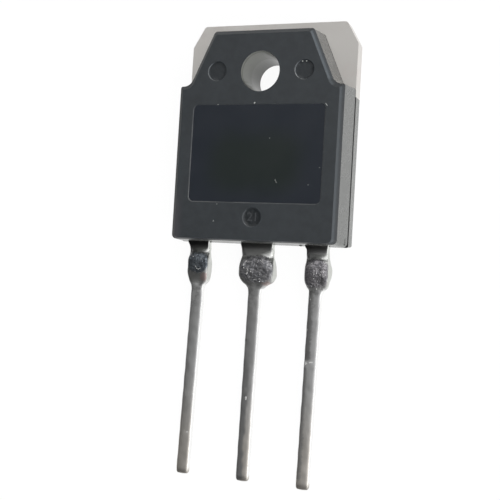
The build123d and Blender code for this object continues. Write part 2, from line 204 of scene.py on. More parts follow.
class FinishBench(NodeBench):
    """Lays out the shader nodes of one finish, on Object coordinates in millimetres."""

    def __init__(self, name: str) -> None:
        """Starts an empty material with a principled surface.

        Args:
            name: The material's name.
        """
        self.material: Material = bpy.data.materials.new(name)
        self.material.use_nodes = True
        super().__init__(self.material.node_tree)
        self.tree.nodes.clear()
        output = self.add("ShaderNodeOutputMaterial")
        self.surface = self.add("ShaderNodeBsdfPrincipled")
        self.join(self.surface.outputs["BSDF"], output.inputs["Surface"])
        place = self.add("ShaderNodeTexCoord")
        scale = self.add("ShaderNodeMapping")
        scale.inputs["Scale"].default_value = (1 / MM, 1 / MM, 1 / MM)
        self.join(place.outputs["Object"], scale.inputs["Vector"])
        self.where: NodeSocket = scale.outputs["Vector"]
        split = self.add("ShaderNodeSeparateXYZ")
        self.join(self.where, split.inputs["Vector"])
        self.x, self.y, self.z = (split.outputs[axis] for axis in "XYZ")

    def set_surface(self, **values: Number | Sequence[float]) -> None:
        """Feeds the surface's sockets.

        Args:
            **values: A socket or a plain value for each, by its name in SOCKETS.
        """
        for name, value in values.items():
            socket = self.surface.inputs[SOCKETS[name]]
            plain_colour = isinstance(value, tuple) and len(value) == 3
            self.feed((*value, 1.0) if plain_colour else value, socket)

    def cloud(
        self,
        size: float,
        detail: float = 3.0,
        rough: float = 0.55,
        squeeze: Point3 = (1, 1, 1),
        shift: float = 0.0,
    ) -> NodeSocket:
        """A soft random pattern.

        Args:
            size: Width of its largest patches in millimetres.
            detail: Finer layers added.
            rough: How strong those layers are.
            squeeze: How much the pattern is squeezed along each axis.
            shift: Moves the pattern, so that two of one size differ.

        Returns:
            The pattern's value, 0 to 1.
        """
        turn = self.add("ShaderNodeMapping")
        turn.inputs["Scale"].default_value = squeeze
        turn.inputs["Location"].default_value = (shift, shift, shift)
        self.join(self.where, turn.inputs["Vector"])
        node = self.add("ShaderNodeTexNoise")
        node.inputs["Scale"].default_value = 1 / size
        node.inputs["Detail"].default_value = detail
        node.inputs["Roughness"].default_value = rough
        self.join(turn.outputs["Vector"], node.inputs["Vector"])
        return node.outputs["Fac"]

    def pits(self, size: float) -> NodeSocket:
        """Scatters points at random.

        Args:
            size: How far apart they are in millimetres, about.

        Returns:
            The distance from the nearest point, in those steps.
        """
        node = self.add("ShaderNodeTexVoronoi")
        node.inputs["Scale"].default_value = 1 / size
        self.join(self.where, node.inputs["Vector"])
        return node.outputs["Distance"]

    def tint(self, factor: Number, first: NodeSocket | Colour, second: NodeSocket | Colour) -> NodeSocket:
        """Mixes two colours.

        Args:
            factor: The second colour's share.
            first: The colour at a share of none.
            second: The colour at the whole.

        Returns:
            The mixed colour.
        """
        node = self.add("ShaderNodeMix")
        node.data_type = "RGBA"
        self.feed(factor, node.inputs[0])
        for value, socket in ((first, node.inputs[6]), (second, node.inputs[7])):
            self.feed(value if isinstance(value, NodeSocket) else (*value, 1.0), socket)
        return node.outputs[2]

    def between(self, factor: NodeSocket, first: Number, second: Number) -> NodeSocket:
        """Mixes two numbers.

        Args:
            factor: The second number's share.
            first: The number at a share of none.
            second: The number at the whole.

        Returns:
            The mixed number.
        """
        node = self.add("ShaderNodeMix")
        node.data_type = "FLOAT"
        for value, socket in ((factor, node.inputs[0]), (first, node.inputs[2]), (second, node.inputs[3])):
            self.feed(value, socket)
        return node.outputs[0]

    def distance(self, centre: Point2, core: Point2 = (0.0, 0.0)) -> NodeSocket:
        """Measures how far a place is from a rectangle, seen from the front.

        Args:
            centre: The rectangle's middle.
            core: Its half-sizes, or zeros for a point.

        Returns:
            The distance in millimetres, none inside.
        """
        gaps = []
        for axis, middle, half in zip((self.x, self.y), centre, core):
            out = self.less(self.off(axis, middle), half)
            gaps.append(self.sum("POWER", self.most(out, 0.0), 2.0))
        return self.sum("SQRT", self.plus(*gaps))

    def facing_right(self, low: float, high: float) -> NodeSocket:
        """Tells how far the surface faces right.

        Args:
            low: Sideways part of the normal where it starts to count.
            high: The part where it counts in full.

        Returns:
            A share, 0 to 1.
        """
        split = self.add("ShaderNodeSeparateXYZ")
        self.join(self.add("ShaderNodeNewGeometry").outputs["Normal"], split.inputs["Vector"])
        return self.ramp(split.outputs["X"], low, high)

    def relief(self, height: NodeSocket, depth: float, under: NodeSocket | None = None) -> NodeSocket:
        """Turns a pattern into fine relief.

        Args:
            height: The pattern.
            depth: The relief's depth in millimetres.
            under: Relief that this one lies on.

        Returns:
            The bent normal.
        """
        node = self.add("ShaderNodeBump")
        node.inputs["Strength"].default_value = 1.0
        node.inputs["Distance"].default_value = depth * MM
        self.join(height, node.inputs["Height"])
        if under:
            self.join(under, node.inputs["Normal"])
        return node.outputs["Normal"]


SOCKETS = {
    "colour": "Base Color",
    "roughness": "Roughness",
    "metallic": "Metallic",
    "normal": "Normal",
    "index": "IOR",
}


def shade(colour: Colour, share: float) -> Colour:
    """A colour made lighter or darker."""
    return tuple(min(1.0, part * share) for part in colour)


@dataclass(frozen=True)
class PanelPlace:
    """The smooth marking panel sunk in the front face: its middle, half-sizes and corner."""

    middle: Point2 = (0.0, -7.185)
    half: Point2 = (6.05, 4.285)
    corner: float = 0.45

    @property
    def core(self) -> Point2:
        """Half-sizes inside the corner radius."""
        return (self.half[0] - self.corner, self.half[1] - self.corner)


@dataclass(frozen=True)
class EpoxyFinish:
    """Charcoal moulding compound: matt spark-eroded front, smoother drafted walls, burnished panel."""

    front: Colour = (0.0262, 0.0302, 0.0338)
    walls: Colour = (0.105, 0.108, 0.104)
    # Partly painted light: paler than the other walls, so the shaded wall of the hole reads lit.
    bore: Colour = (0.160, 0.166, 0.150)
    seam: Colour = (0.020, 0.020, 0.021)
    # Painted shade in the parting groove round the walls.
    groove_shade: Colour = (0.008, 0.008, 0.009)
    bloom: Colour = (0.062, 0.054, 0.062)
    panel: Colour = (0.0120, 0.0165, 0.0160)
    panel_edge: Colour = (0.0140, 0.0174, 0.0236)
    # Painted highlight along the panel's rim.
    line: Colour = (0.070, 0.073, 0.075)
    # Painted highlight on the lower-left rims of the round marks.
    rim_highlight: Colour = (0.190, 0.196, 0.196)
    # Darker floors of the round marks, also carrying the painted shadow at their upper right.
    floor: Colour = (0.0050, 0.0070, 0.0086)
    place: PanelPlace = PanelPlace()
    marks: tuple[Point2, ...] = (*EJECTOR_MARKS, CAVITY_MARK)
    mark_radius: float = 0.85
    right_wall: Point2 = (0.30, 0.45)
    edge_drop: Point2 = (4.645, 4.62)
    bevel_top: Point2 = (4.645, 4.63)
    seam_height: float = 4.32
    witness_height: float = 1.42
    gap_radius: float = 1.735
    gap_low_left: Point2 = (-1.19, -1.32)
    gap_top_right: Point2 = (1.02, 1.46)

    def make(self) -> Material:
        """Builds the material.

        Returns:
            The material.
        """
        bench = FinishBench("charcoal_moulding_compound")
        height = bench.ramp(bench.z, 4.20, 4.30)
        # The nose's right wall, which gets painted shade on the wall and a paler painted highlight on its
        # bevel.
        nose = bench.times(bench.ramp(bench.y, -0.95, -0.60), bench.facing_right(*self.right_wall))
        bore = bench.ramp(bench.distance(HOLE), 2.3, 2.1)
        # The top edge of the hole takes the bore's colour, which is partly painted light.
        lip = bench.times(bench.ramp(bench.distance(HOLE), 1.83, 1.79), bench.ramp(bench.z, *self.edge_drop))
        colour = bench.tint(height, self.wall_colour(bench, nose, bore), self.front_colour(bench))
        colour = bench.tint(lip, colour, self.bore)
        # Painted shade in the gap behind the flash.
        colour = bench.tint(self.flash_gap(bench), colour, self.seam)
        edge_share = bench.times(height, bench.other(lip))
        # Painted highlight on the bevel between the front face and the right walls.
        colour = bench.tint(self.bevel_share(bench, edge_share), colour, self.bevel_colour(bench, nose))
        seam = bench.ramp(bench.off(bench.z, self.seam_height), 0.10, 0.04)
        colour = bench.tint(bench.times(seam, 0.35), colour, self.seam)
        # Painted shade in the parting groove.
        groove_shade = bench.ramp(bench.off(bench.z, self.witness_height), 0.23, 0.13)
        groove_shade = bench.times(groove_shade, bench.other(bore))
        colour = bench.tint(groove_shade, colour, self.groove_shade)
        sunk, rim = self.panel_shares(bench)
        colour = bench.tint(sunk, colour, self.panel_colour(bench))
        # Painted highlight along the panel's rim, weaker at its top and its right side.
        quiet = bench.ramp(bench.y, -3.6, -3.1, 1.0, 0.35)
        quiet = bench.times(quiet, bench.ramp(bench.x, 5.0, 5.9, 1.0, 0.55))
        colour = bench.tint(bench.times(rim, quiet), colour, self.line)
        floors, lit_crescents = self.mark_shades(bench)
        # Darker mark floors, with a painted shadow at their upper right.
        colour = bench.tint(bench.times(floors, 0.75), colour, self.floor)
        # Painted highlight on the lower-left rims of the round marks.
        colour = bench.tint(bench.times(lit_crescents, self.rim_highlight_strength(bench)), colour, self.rim_highlight)
        inside = bench.times(bore, bench.other(height))
        matt = bench.between(height, bench.ramp(bench.cloud(0.9), 0.2, 0.8, 0.24, 0.32), 0.50)
        rough = bench.between(sunk, matt, bench.ramp(bench.cloud(2.5), 0.3, 0.7, 0.34, 0.40))
        rough = bench.between(bench.most(self.mark_rims(bench), rim), rough, 0.24)
        rough = bench.between(inside, bench.between(groove_shade, rough, 0.85), 0.28)
        grainy = bench.times(bench.between(height, 0.11, 1.0), bench.other(inside))
        grain = bench.relief(bench.times(bench.cloud(0.07, 2.0), grainy), 0.0020)
        grain = bench.relief(bench.times(bench.cloud(0.45, 2.0), grainy), 0.0020, grain)
        bench.set_surface(colour=colour, roughness=rough, normal=grain, index=1.5)
        return bench.material

    def wall_colour(self, bench: FinishBench, nose: NodeSocket, bore: NodeSocket) -> NodeSocket:
        """Colours the walls: painted shade on the nose's right wall, paler near the back, and the bore's
        colour in the hole, which is partly painted light.

        Args:
            bench: The finish being laid out.
            nose: Share of the nose's right wall, which gets painted shade.
            bore: Share of the mounting hole's wall.

        Returns:
            The colour.
        """
        wall = bench.tint(bench.cloud(1.6, 2.0), shade(self.walls, 0.96), shade(self.walls, 1.04))
        # Painted shade on the nose's right wall.
        wall = bench.tint(nose, wall, shade(self.walls, 0.58))
        wall = bench.tint(bench.ramp(bench.z, 1.30, 1.22), wall, shade(self.walls, 1.22))
        # The bore's colour, which is partly painted light.
        return bench.tint(bore, wall, self.bore)

    def flash_gap(self, bench: FinishBench) -> NodeSocket:
        """Finds the gap behind the flash in the hole's rim, at its two thick places, where shade is painted.

        Args:
            bench: The finish being laid out.

        Returns:
            The gap's share.
        """
        gap = bench.ramp(bench.off(bench.distance(HOLE), self.gap_radius), 0.035, 0.015)
        low_left = bench.ramp(bench.distance(self.gap_low_left), 0.8, 0.5)
        top_right = bench.ramp(bench.distance(self.gap_top_right), 0.4, 0.2)
        near = bench.most(low_left, top_right)
        return bench.times(bench.times(gap, near), bench.ramp(bench.z, 4.50, 4.54))

    def bevel_share(self, bench: FinishBench, edge_share: NodeSocket) -> NodeSocket:
        """Where the painted highlight goes on the bevel between the front face and the right walls."""
        bevel = bench.times(bench.ramp(bench.z, *self.bevel_top), bench.facing_right(*self.right_wall))
        return bench.times(bevel, edge_share)

    def bevel_colour(self, bench: FinishBench, nose: NodeSocket) -> NodeSocket:
        """Paints a highlight on the right bevel: pale along its upper edge, and paler at the nose.

        Args:
            bench: The finish being laid out.
            nose: Share of the nose's right wall, where the painted highlight is paler.

        Returns:
            The colour.
        """
        low_edge = bench.tint(nose, shade(self.front, 1.2), shade(self.front, 1.8))
        high_edge = bench.tint(nose, shade(self.front, 1.9), shade(self.front, 2.9))
        return bench.tint(bench.ramp(bench.z, 4.46, 4.50), low_edge, high_edge)

    def panel_shares(self, bench: FinishBench) -> tuple[NodeSocket, NodeSocket]:
        """Finds the sunk panel and its rim, where a highlight is painted.

        Args:
            bench: The finish being laid out.

        Returns:
            The panel's share and the rim's.
        """
        edge = bench.less(bench.distance(self.place.middle, self.place.core), self.place.corner)
        lifted = bench.ramp(bench.z, 4.40, 4.50)
        rim = bench.times(bench.ramp(bench.sum("ABSOLUTE", edge), 0.06, 0.03), lifted)
        rim = bench.times(rim, bench.ramp(bench.cloud(1.6), 0.35, 0.65, 0.35))
        return bench.times(bench.ramp(edge, 0.02, -0.04), lifted), rim

    def rim_highlight_strength(self, bench: FinishBench) -> NodeSocket:
        """How strong the painted highlight on the round marks' rims is: patchy, most at the upper right and
        least at the bottom.
        """
        worn = bench.times(bench.ramp(bench.cloud(0.7), 0.28, 0.46), bench.ramp(bench.x, 1.5, 3.0, 0.5, 1.0))
        return bench.times(worn, bench.ramp(bench.y, -6.0, -2.0, 0.22, 1.0))

    def mark_shades(self, bench: FinishBench) -> tuple[NodeSocket, NodeSocket]:
        """Finds the round marks' darker floors, darkest at their upper right as a painted shadow, and the
        painted highlight on their lower-left rims.

        Args:
            bench: The finish being laid out.

        Returns:
            The floors' share and the rims'.
        """
        floors: Number = 0.0
        lit_crescents: Number = 0.0
        lifted = bench.ramp(bench.z, 4.45, 4.50)
        for x, y in self.marks:
            reach, least = (0.80, 0.95) if (x, y) == CAVITY_MARK else (0.82, 0.5)
            inside = bench.ramp(bench.distance((x, y)), reach + 0.02, reach - 0.02)
            # Painted shadow: the floor's darkening grows away from a point moved to the lower left, most at
            # the upper right.
            deep = bench.ramp(bench.distance((x - 0.12, y - 0.12)), 0.62, 0.88, least, 1.0)
            floors = bench.most(bench.times(inside, deep), floors)
            rim = bench.ramp(bench.off(bench.distance((x, y)), self.mark_radius), 0.04, 0.02)
            # The lower-left part of the rim, which gets the painted highlight.
            low = bench.ramp(bench.distance((x + 0.10, y + 0.08)), 0.90, 0.98)
            lit_crescents = bench.most(bench.times(rim, low), lit_crescents)
        return bench.times(floors, lifted), bench.times(lit_crescents, lifted)

    def mark_rims(self, bench: FinishBench) -> NodeSocket:
        """Finds the polished rims of the three round marks.

        Args:
            bench: The finish being laid out.

        Returns:
            The rims' share.
        """
        rims: Number = 0.0
        for centre in self.marks:
            off = bench.off(bench.distance(centre), self.mark_radius - 0.01)
            rims = bench.most(bench.ramp(off, 0.05, 0.02), rims)
        return rims

    def front_colour(self, bench: FinishBench) -> NodeSocket:
        """Colours the front face: soft mottling and a faint purplish bloom down one edge.

        Args:
            bench: The finish being laid out.

        Returns:
            The colour.
        """
        mottle = bench.ramp(bench.cloud(0.7, 4.0, 0.6), 0.25, 0.75)
        colour = bench.tint(mottle, shade(self.front, 0.90), shade(self.front, 1.14))
        broad = bench.ramp(bench.cloud(4.5, 2.0), 0.35, 0.7, 0.0, 0.35)
        colour = bench.tint(broad, colour, shade(self.front, 1.25))
        edge = bench.times(bench.ramp(bench.x, -6.3, -7.3), bench.ramp(bench.y, -9.5, -12.5))
        return bench.tint(bench.times(edge, 0.5), colour, self.bloom)

    def panel_colour(self, bench: FinishBench) -> NodeSocket:
        """Colours the panel: greenish in the middle, bluer towards its top and edges.

        Args:
            bench: The finish being laid out.

        Returns:
            The colour.
        """
        x, y = self.place.middle
        out = bench.plus(bench.distance((x, y - 0.8), (2.0, 0.5)), bench.cloud(3.0, 1.0, shift=3.0))
        return bench.tint(bench.ramp(out, 1.2, 3.8), self.panel, self.panel_edge)


@dataclass(frozen=True)
class PlateFinish:
    """Satin plated copper of the mounting plate, grey and dull along its lead, with painted shade towards its
    right.
    """

    satin: Colour = (0.93, 0.905, 0.87)
    dull: Colour = (0.42, 0.42, 0.42)
    stain: Colour = (0.74, 0.68, 0.65)

    def make(self) -> Material:
        """Builds the material.

        Returns:
            The material.
        """
        bench = FinishBench("satin_plated_copper")
        roll = bench.cloud(0.5, 4.0, 0.6, squeeze=(3.0, 0.25, 1.0))
        colour = bench.tint(roll, shade(self.satin, 0.97), shade(self.satin, 1.02))
        # Painted shade: darker towards the right.
        colour = bench.tint(bench.ramp(bench.x, -5.0, 6.0), colour, shade(self.satin, 0.83))
        stain = bench.ramp(bench.cloud(2.2, 3.0, shift=5.0), 0.50, 0.75, 0.0, 0.35)
        colour = bench.tint(stain, colour, self.stain)
        lead = bench.ramp(bench.y, -13.0, -14.5)
        colour = bench.tint(lead, colour, self.dull)
        rough = bench.between(bench.cloud(0.8, 3.0, shift=2.0), 0.52, 0.62)
        grain = bench.relief(bench.cloud(0.05, 2.0, squeeze=(2.0, 0.5, 1.0)), 0.0012)
        bench.set_surface(colour=colour, roughness=rough, normal=grain, metallic=1.0)
        return bench.material


@dataclass(frozen=True)
class TinFinish:
    """Dull dipped tin on the long leads, warmer and darker at the cut tips."""

    clean: Colour = (0.86, 0.865, 0.86)
    warm: Colour = (0.86, 0.82, 0.76)
    # Near-white right side faces: painted light.
    side: Colour = (0.95, 0.95, 0.94)
    grime: Colour = (0.16, 0.16, 0.16)
    tip: Colour = (0.13, 0.115, 0.10)
    scraped: Colour = (0.42, 0.42, 0.41)
    nicks: tuple[tuple[Point2, Point2], ...] = (
        ((5.46, -24.84), (0.10, 0.02)), ((5.02, -24.95), (0.03, 0.10)), ((-0.22, -28.40), (0.03, 0.12)),
        ((-5.60, -31.90), (0.05, 0.01)), ((-5.30, -28.60), (0.02, 0.02)),
    )
    crust: tuple[Point2, Point2] = ((5.08, -21.3), (0.02, 3.2))
    strip: tuple[Point2, Point2] = ((4.88, -30.0), (0.04, 4.6))
    smudge: tuple[Point2, Point2] = ((5.28, -25.0), (0.25, 0.12))

    def make(self) -> Material:
        """Builds the material.

        Returns:
            The material.
        """
        bench = FinishBench("dull_dipped_tin")
        colour, rough = self.lay(bench)
        tip = bench.ramp(bench.y, -35.0, -35.7)
        colour = bench.tint(bench.times(tip, 0.7), colour, self.tip)
        pale = self.pale_share(bench)
        colour = bench.tint(pale, colour, self.scraped)
        grain = bench.relief(bench.cloud(0.18, 3.0), 0.004)
        bench.set_surface(colour=colour, roughness=rough, normal=grain, metallic=bench.other(pale))
        return bench.material

    def pale_share(self, bench: FinishBench) -> NodeSocket:
        """Finds the flux that flecks the upper leads and the nicks' scraped faces.

        Args:
            bench: The finish being laid out.

        Returns:
            Their share.
        """
        pale = bench.times(bench.ramp(bench.pits(0.30), 0.17, 0.10), bench.ramp(bench.y, -22.5, -19.5))
        pale = bench.times(pale, bench.ramp(bench.cloud(0.5, shift=9.0), 0.50, 0.60))
        for place, half in self.nicks:
            nick = bench.plus(bench.distance(place, half), bench.times(bench.cloud(0.12), 0.08))
            pale = bench.most(pale, bench.ramp(nick, 0.10, 0.05))
        return pale

    def lay(self, bench: FinishBench) -> tuple[NodeSocket, NodeSocket]:
        """Lays the tin out on a bench, with painted shade on the sides that face left and painted light on
        the right sides.

        Args:
            bench: The finish being laid out.

        Returns:
            The tin's colour and its roughness.
        """
        streak = bench.cloud(0.6, 4.0, 0.65, squeeze=(2.0, 0.35, 2.0))
        colour = bench.tint(bench.ramp(streak, 0.3, 0.7), shade(self.clean, 0.90), shade(self.clean, 1.08))
        # Painted shade on the sides that face left.
        colour = bench.tint(bench.facing_right(0.01, -0.12), colour, shade(self.clean, 0.70))
        colour = bench.tint(bench.ramp(bench.y, -21.0, -31.0), shade(self.clean, 0.80), colour)
        middle = bench.ramp(bench.distance((-0.08, -20.0), (0.3, 3.0)), 4.5, 1.2)
        colour = bench.tint(middle, colour, shade(self.clean, 0.66))
        colour = bench.tint(bench.ramp(bench.y, -26.0, -34.0), colour, self.warm)
        colour = self.soil(bench, colour)
        # More painted shade on the left-facing half of the middle lead, low down.
        lower = bench.times(bench.ramp(bench.y, -23.0, -26.0), bench.ramp(bench.x, -2.0, -1.5))
        lower = bench.times(lower, bench.ramp(bench.x, 2.0, 1.5))
        lower = bench.times(lower, bench.facing_right(0.04, -0.04))
        colour = bench.tint(lower, colour, shade(self.clean, 0.58))
        # Painted light on the right side faces, above the tips.
        side = bench.times(bench.facing_right(0.55, 0.80), bench.ramp(bench.y, -35.4, -34.9))
        colour = bench.tint(side, colour, self.side)
        return colour, bench.between(bench.cloud(0.5, 3.0, shift=2.0), 0.42, 0.54)

    def soil(self, bench: FinishBench, colour: NodeSocket) -> NodeSocket:
        """Lays grime, residue below the solder, and the crust and smudge of the right lead.

        Args:
            bench: The finish being laid out.
            colour: The clean tin's colour.

        Returns:
            The soiled colour.
        """
        spread = bench.ramp(bench.cloud(0.8, shift=4.0), 0.48, 0.62)
        spots = bench.times(bench.ramp(bench.pits(1.5), 0.12, 0.05), spread)
        colour = bench.tint(bench.times(spots, 0.5), colour, self.grime)
        residue = bench.times(bench.ramp(bench.cloud(0.45, 5.0, 0.7, shift=7.0), 0.42, 0.62), 0.7)
        residue = bench.times(residue, bench.ramp(bench.y, -21.8, -19.5))
        residue = bench.times(residue, bench.facing_right(0.12, -0.02))
        colour = bench.tint(residue, colour, shade(self.clean, 0.42))
        ragged = bench.times(bench.cloud(0.35, 4.0, 0.65, shift=2.0), 0.6)
        crust = bench.plus(bench.distance(*self.crust), ragged)
        colour = bench.tint(bench.ramp(crust, 0.68, 0.40), colour, shade(self.clean, 0.46))
        strip = bench.plus(bench.distance(*self.strip), ragged)
        colour = bench.tint(bench.ramp(strip, 0.62, 0.36, 0.0, 0.7), colour, shade(self.clean, 0.56))
        smudge = bench.plus(bench.distance(*self.smudge), ragged)
        return bench.tint(bench.ramp(smudge, 0.60, 0.36, 0.0, 0.45), colour, shade(self.clean, 1.15))


@dataclass(frozen=True)
class BrokenPatch:
    """The rough face where the solder broke off: a rounded patch seen from the front."""

    centre: Point2
    core: Point2
    radius: float

    def depth(self, spot: Vector) -> float:
        """How far inside the patch a place is, in millimetres; negative outside."""
        gaps = (max(abs(spot[axis] - self.centre[axis]) - self.core[axis], 0.0) for axis in range(2))
        return self.radius - math.hypot(*gaps)


@dataclass(frozen=True)
class SolderFinish:
    """Solder left on a lead: smooth where it flowed, broken and dirty on the patch."""

    lead: str
    patch: BrokenPatch
    stain: Point2
    tone: Colour
    old: float
    # How dark the painted shade near the housing is.
    dim: float
    # The smooth solder's colour, also used for its painted highlights.
    smooth: Colour = (0.80, 0.81, 0.79)
    # Pale sides that face right: painted light.
    side: Colour = (0.62, 0.63, 0.60)
    dirt: Colour = (0.15, 0.152, 0.16)
    torn: Colour = (0.42, 0.415, 0.42)
    fleck: Colour = (0.84, 0.84, 0.84)
    copper: Colour = (0.42, 0.31, 0.29)

    def make(self) -> Material:
        """Builds the material.

        Returns:
            The material.
        """
        bench = FinishBench(f"old_solder_{self.lead}")
        inside = bench.less(self.patch.radius, bench.distance(self.patch.centre, self.patch.core))
        ragged = bench.plus(inside, bench.times(bench.less(bench.cloud(0.3), 0.5), 0.5))
        broken = bench.times(bench.ramp(ragged, -0.10, 0.10), bench.ramp(bench.z, 2.5, 2.75))
        flakes = bench.ramp(bench.cloud(0.35, 5.0, 0.72), 0.36, 0.68)
        torn = bench.tint(flakes, self.toned(self.dirt), self.toned(self.torn))
        spread = bench.ramp(bench.cloud(0.6), 0.48, 0.62)
        specks = bench.times(bench.ramp(bench.pits(0.30), 0.16, 0.10), spread)
        torn = bench.tint(specks, torn, self.toned(self.fleck))
        flowed, coat = self.flowed(bench)
        colour = bench.tint(broken, flowed, torn)
        reach = bench.plus(bench.distance(self.stain), bench.cloud(0.5, shift=1.0))
        pink = bench.times(bench.ramp(reach, 1.05, 0.70), bench.other(broken))
        colour = bench.tint(bench.times(pink, 0.7), colour, self.copper)
        # Painted light on the sides that face right.
        colour = bench.tint(bench.facing_right(0.72, 0.90), colour, self.side)
        film = bench.between(pink, coat, 0.50)
        rough = bench.between(broken, film, bench.between(flakes, 0.55, 0.34))
        tin, tin_rough = TinFinish().lay(bench)
        end = bench.ramp(bench.plus(bench.y, bench.cloud(0.4)), -17.7, -18.3)
        colour = bench.tint(end, colour, tin)
        rough = bench.between(end, rough, tin_rough)
        grain = bench.relief(bench.times(bench.cloud(0.16, 4.0, 0.7), broken), 0.032)
        metal = bench.other(bench.times(specks, broken))
        bench.set_surface(colour=colour, roughness=rough, normal=grain, metallic=metal)
        return bench.material

    def flowed(self, bench: FinishBench) -> tuple[NodeSocket, NodeSocket]:
        """Lays out the smooth solder: painted shade near the housing, a painted highlight at the bend and on
        parts that face right, dull below.

        Args:
            bench: The finish being laid out.

        Returns:
            Its colour and its roughness.
        """
        aged = bench.ramp(bench.plus(bench.y, bench.times(bench.cloud(0.6), 0.8)), -15.8, -16.5)
        # Painted shade near the housing.
        near_wall = bench.ramp(bench.y, -15.45, -14.95)
        shadow = bench.tint(near_wall, shade(WHITE, self.dim), shade(WHITE, self.dim * 0.45))
        # Painted highlight at the bend, except where it faces left.
        bend = bench.times(bench.ramp(bench.y, -15.35, -15.60), bench.facing_right(-0.04, 0.05))
        shadow = bench.tint(bend, shadow, self.smooth)
        # Painted highlight on the parts that face right.
        lit = bench.tint(bench.facing_right(0.10, 0.28), shadow, self.smooth)
        coat = bench.between(bench.facing_right(0.10, 0.28), 0.28, 0.12)
        coat = bench.between(aged, bench.between(bend, coat, 0.32), 0.42)
        return bench.tint(aged, lit, (self.old, self.old, self.old * 0.985)), coat

    def toned(self, colour: Colour) -> Colour:
        """A colour of the broken patch in this lead's own tone."""
        return tuple(part * share for part, share in zip(colour, self.tone))


@dataclass(frozen=True)
class InnerFinish:
    """A clean finish of the parts sealed inside the housing."""

    name: str
    colour: Colour
    roughness: float
    metallic: float
    patch: float

    def make(self) -> Material:
        """Builds the material.

        Returns:
            The material.
        """
        bench = FinishBench(self.name)
        cloud = bench.cloud(self.patch, 3.0)
        colour = bench.tint(cloud, shade(self.colour, 0.9), shade(self.colour, 1.1))
        grain = bench.relief(bench.cloud(self.patch / 4), 0.001)
        bench.set_surface(colour=colour, roughness=self.roughness, metallic=self.metallic, normal=grain)
        return bench.material


# ---------------------------------------------------------------- making pieces


def rings_edges(verts: Sequence[BMVert]) -> list[BMEdge]:
    """Finds the edges that join the vertices of one ring, following the ring.

    Args:
        verts: The ring's vertices.

    Returns:
        The edges between them.
    """
    ring = set(verts)
    found = (edge for vert in verts for edge in vert.link_edges if edge.other_vert(vert) in ring)
    return list(dict.fromkeys(found))


def round_ring(sheet: BMesh, centre: Vector, core: Point2, radius: float, segments: int) -> list[BMVert]:
    """A flat ring facing Z: a circle whose quarters are moved out to the corners of a rectangle.

    Args:
        sheet: The mesh that takes the ring.
        centre: Middle of the ring in millimetres.
        core: Half-sizes of the rectangle, or zeros for a circle.
        radius: The circle's radius.
        segments: Points on the ring, a multiple of four.

    Returns:
        The ring's vertices in order.
    """
    half_step = Matrix.Rotation(math.pi / segments, 4, "Z")
    verts = bmesh.ops.create_circle(sheet, segments=segments, radius=radius, matrix=half_step)["verts"]
    for vert in verts:
        vert.co.x += math.copysign(core[0], vert.co.x)
        vert.co.y += math.copysign(core[1], vert.co.y)
        vert.co += centre
    return verts


def neighbours(vert: BMVert) -> list[BMVert]:
    """The vertices at the other ends of a vertex's edges."""
    return [edge.other_vert(vert) for edge in vert.link_edges]


def next_ring(sheet: BMesh, ring: Sequence[BMVert], place: Callable[[int], Vector]) -> list[BMVert]:
    """Pulls a new ring out of the last one.

    Args:
        sheet: The mesh being built.
        ring: The last ring, in order.
        place: Gives the new place of each vertex by its number.

    Returns:
        The new ring, in the same order.
    """
    pulled = bmesh.ops.extrude_edge_only(sheet, edges=rings_edges(ring))["geom"]
    fresh = {item for item in pulled if isinstance(item, BMVert)}
    new_ring = [next(end for end in neighbours(vert) if end in fresh) for vert in ring]
    for number, vert in enumerate(new_ring):
        vert.co = place(number)
    return new_ring


def finish_piece(
    sheet: BMesh,
    name: str,
    finish: Material,
    slot: Slot,
    replaces: Node | None = None,
    sharp: float = 35.0,
    flat: Sequence[BMFace] = (),
) -> Object:
    """Turns a mesh in millimetres into a piece of the object.

    Args:
        sheet: The finished mesh, which is freed.
        name: The piece's name.
        finish: Its material.
        slot: The record's slot that the finish belongs to; not used.
        replaces: The CAD node that the piece stands for.
        sharp: Angle in degrees from which an edge stays sharp.
        flat: Faces of the flat areas, which aren't shaded smooth.

    Returns:
        The piece, riding on the body.
    """
    bmesh.ops.scale(sheet, vec=(MM, MM, MM), verts=sheet.verts)
    sheet.faces.index_update()
    flat_numbers = [face.index for face in flat]
    mesh = bpy.data.meshes.new(name)
    sheet.to_mesh(mesh)
    sheet.free()
    mesh.materials.append(finish)
    mesh.shade_smooth()
    mesh.set_sharp_from_angle(angle=math.radians(sharp))
    for number in flat_numbers:
        mesh.polygons[number].use_smooth = False
    piece = bpy.data.objects.new(name, mesh)
    bpy.context.scene.collection.objects.link(piece)
    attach(piece, BODY)
    if replaces:
        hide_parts(replaces.value)
    log.info("%s: %d faces", name, len(mesh.polygons))
    return piece


def packed_copy(node: Object) -> BMesh:
    """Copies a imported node's mesh in millimetres, with its flat areas joined.

    Args:
        node: The CAD node, which stays as it is.

    Returns:
        The merged copy.
    """
    sheet = bmesh.new()
    sheet.from_mesh(node.data)
    bmesh.ops.scale(sheet, vec=(1 / MM,) * 3, verts=sheet.verts)
    bmesh.ops.remove_doubles(sheet, verts=sheet.verts, dist=1e-4)
    bmesh.ops.dissolve_limit(sheet, angle_limit=math.radians(0.5), verts=sheet.verts, edges=sheet.edges)
    return sheet


def broad_faces(sheet: BMesh, area: float = 0.5) -> set[BMFace]:
    """The faces of flat areas, by their size in square millimetres."""
    return {face for face in sheet.faces if face.calc_area() > area}


def dress(node: Object, material: Material) -> None:
    """Gives a CAD node a finish in its material slots.

    Args:
        node: The CAD node.
        material: The finish that goes into its material slots.
    """
    for holder in node.material_slots:
        holder.material = material
    log.info("%s keeps its shape and gets %s", node.name, material.name)


# ---------------------------------------------------------------- housing


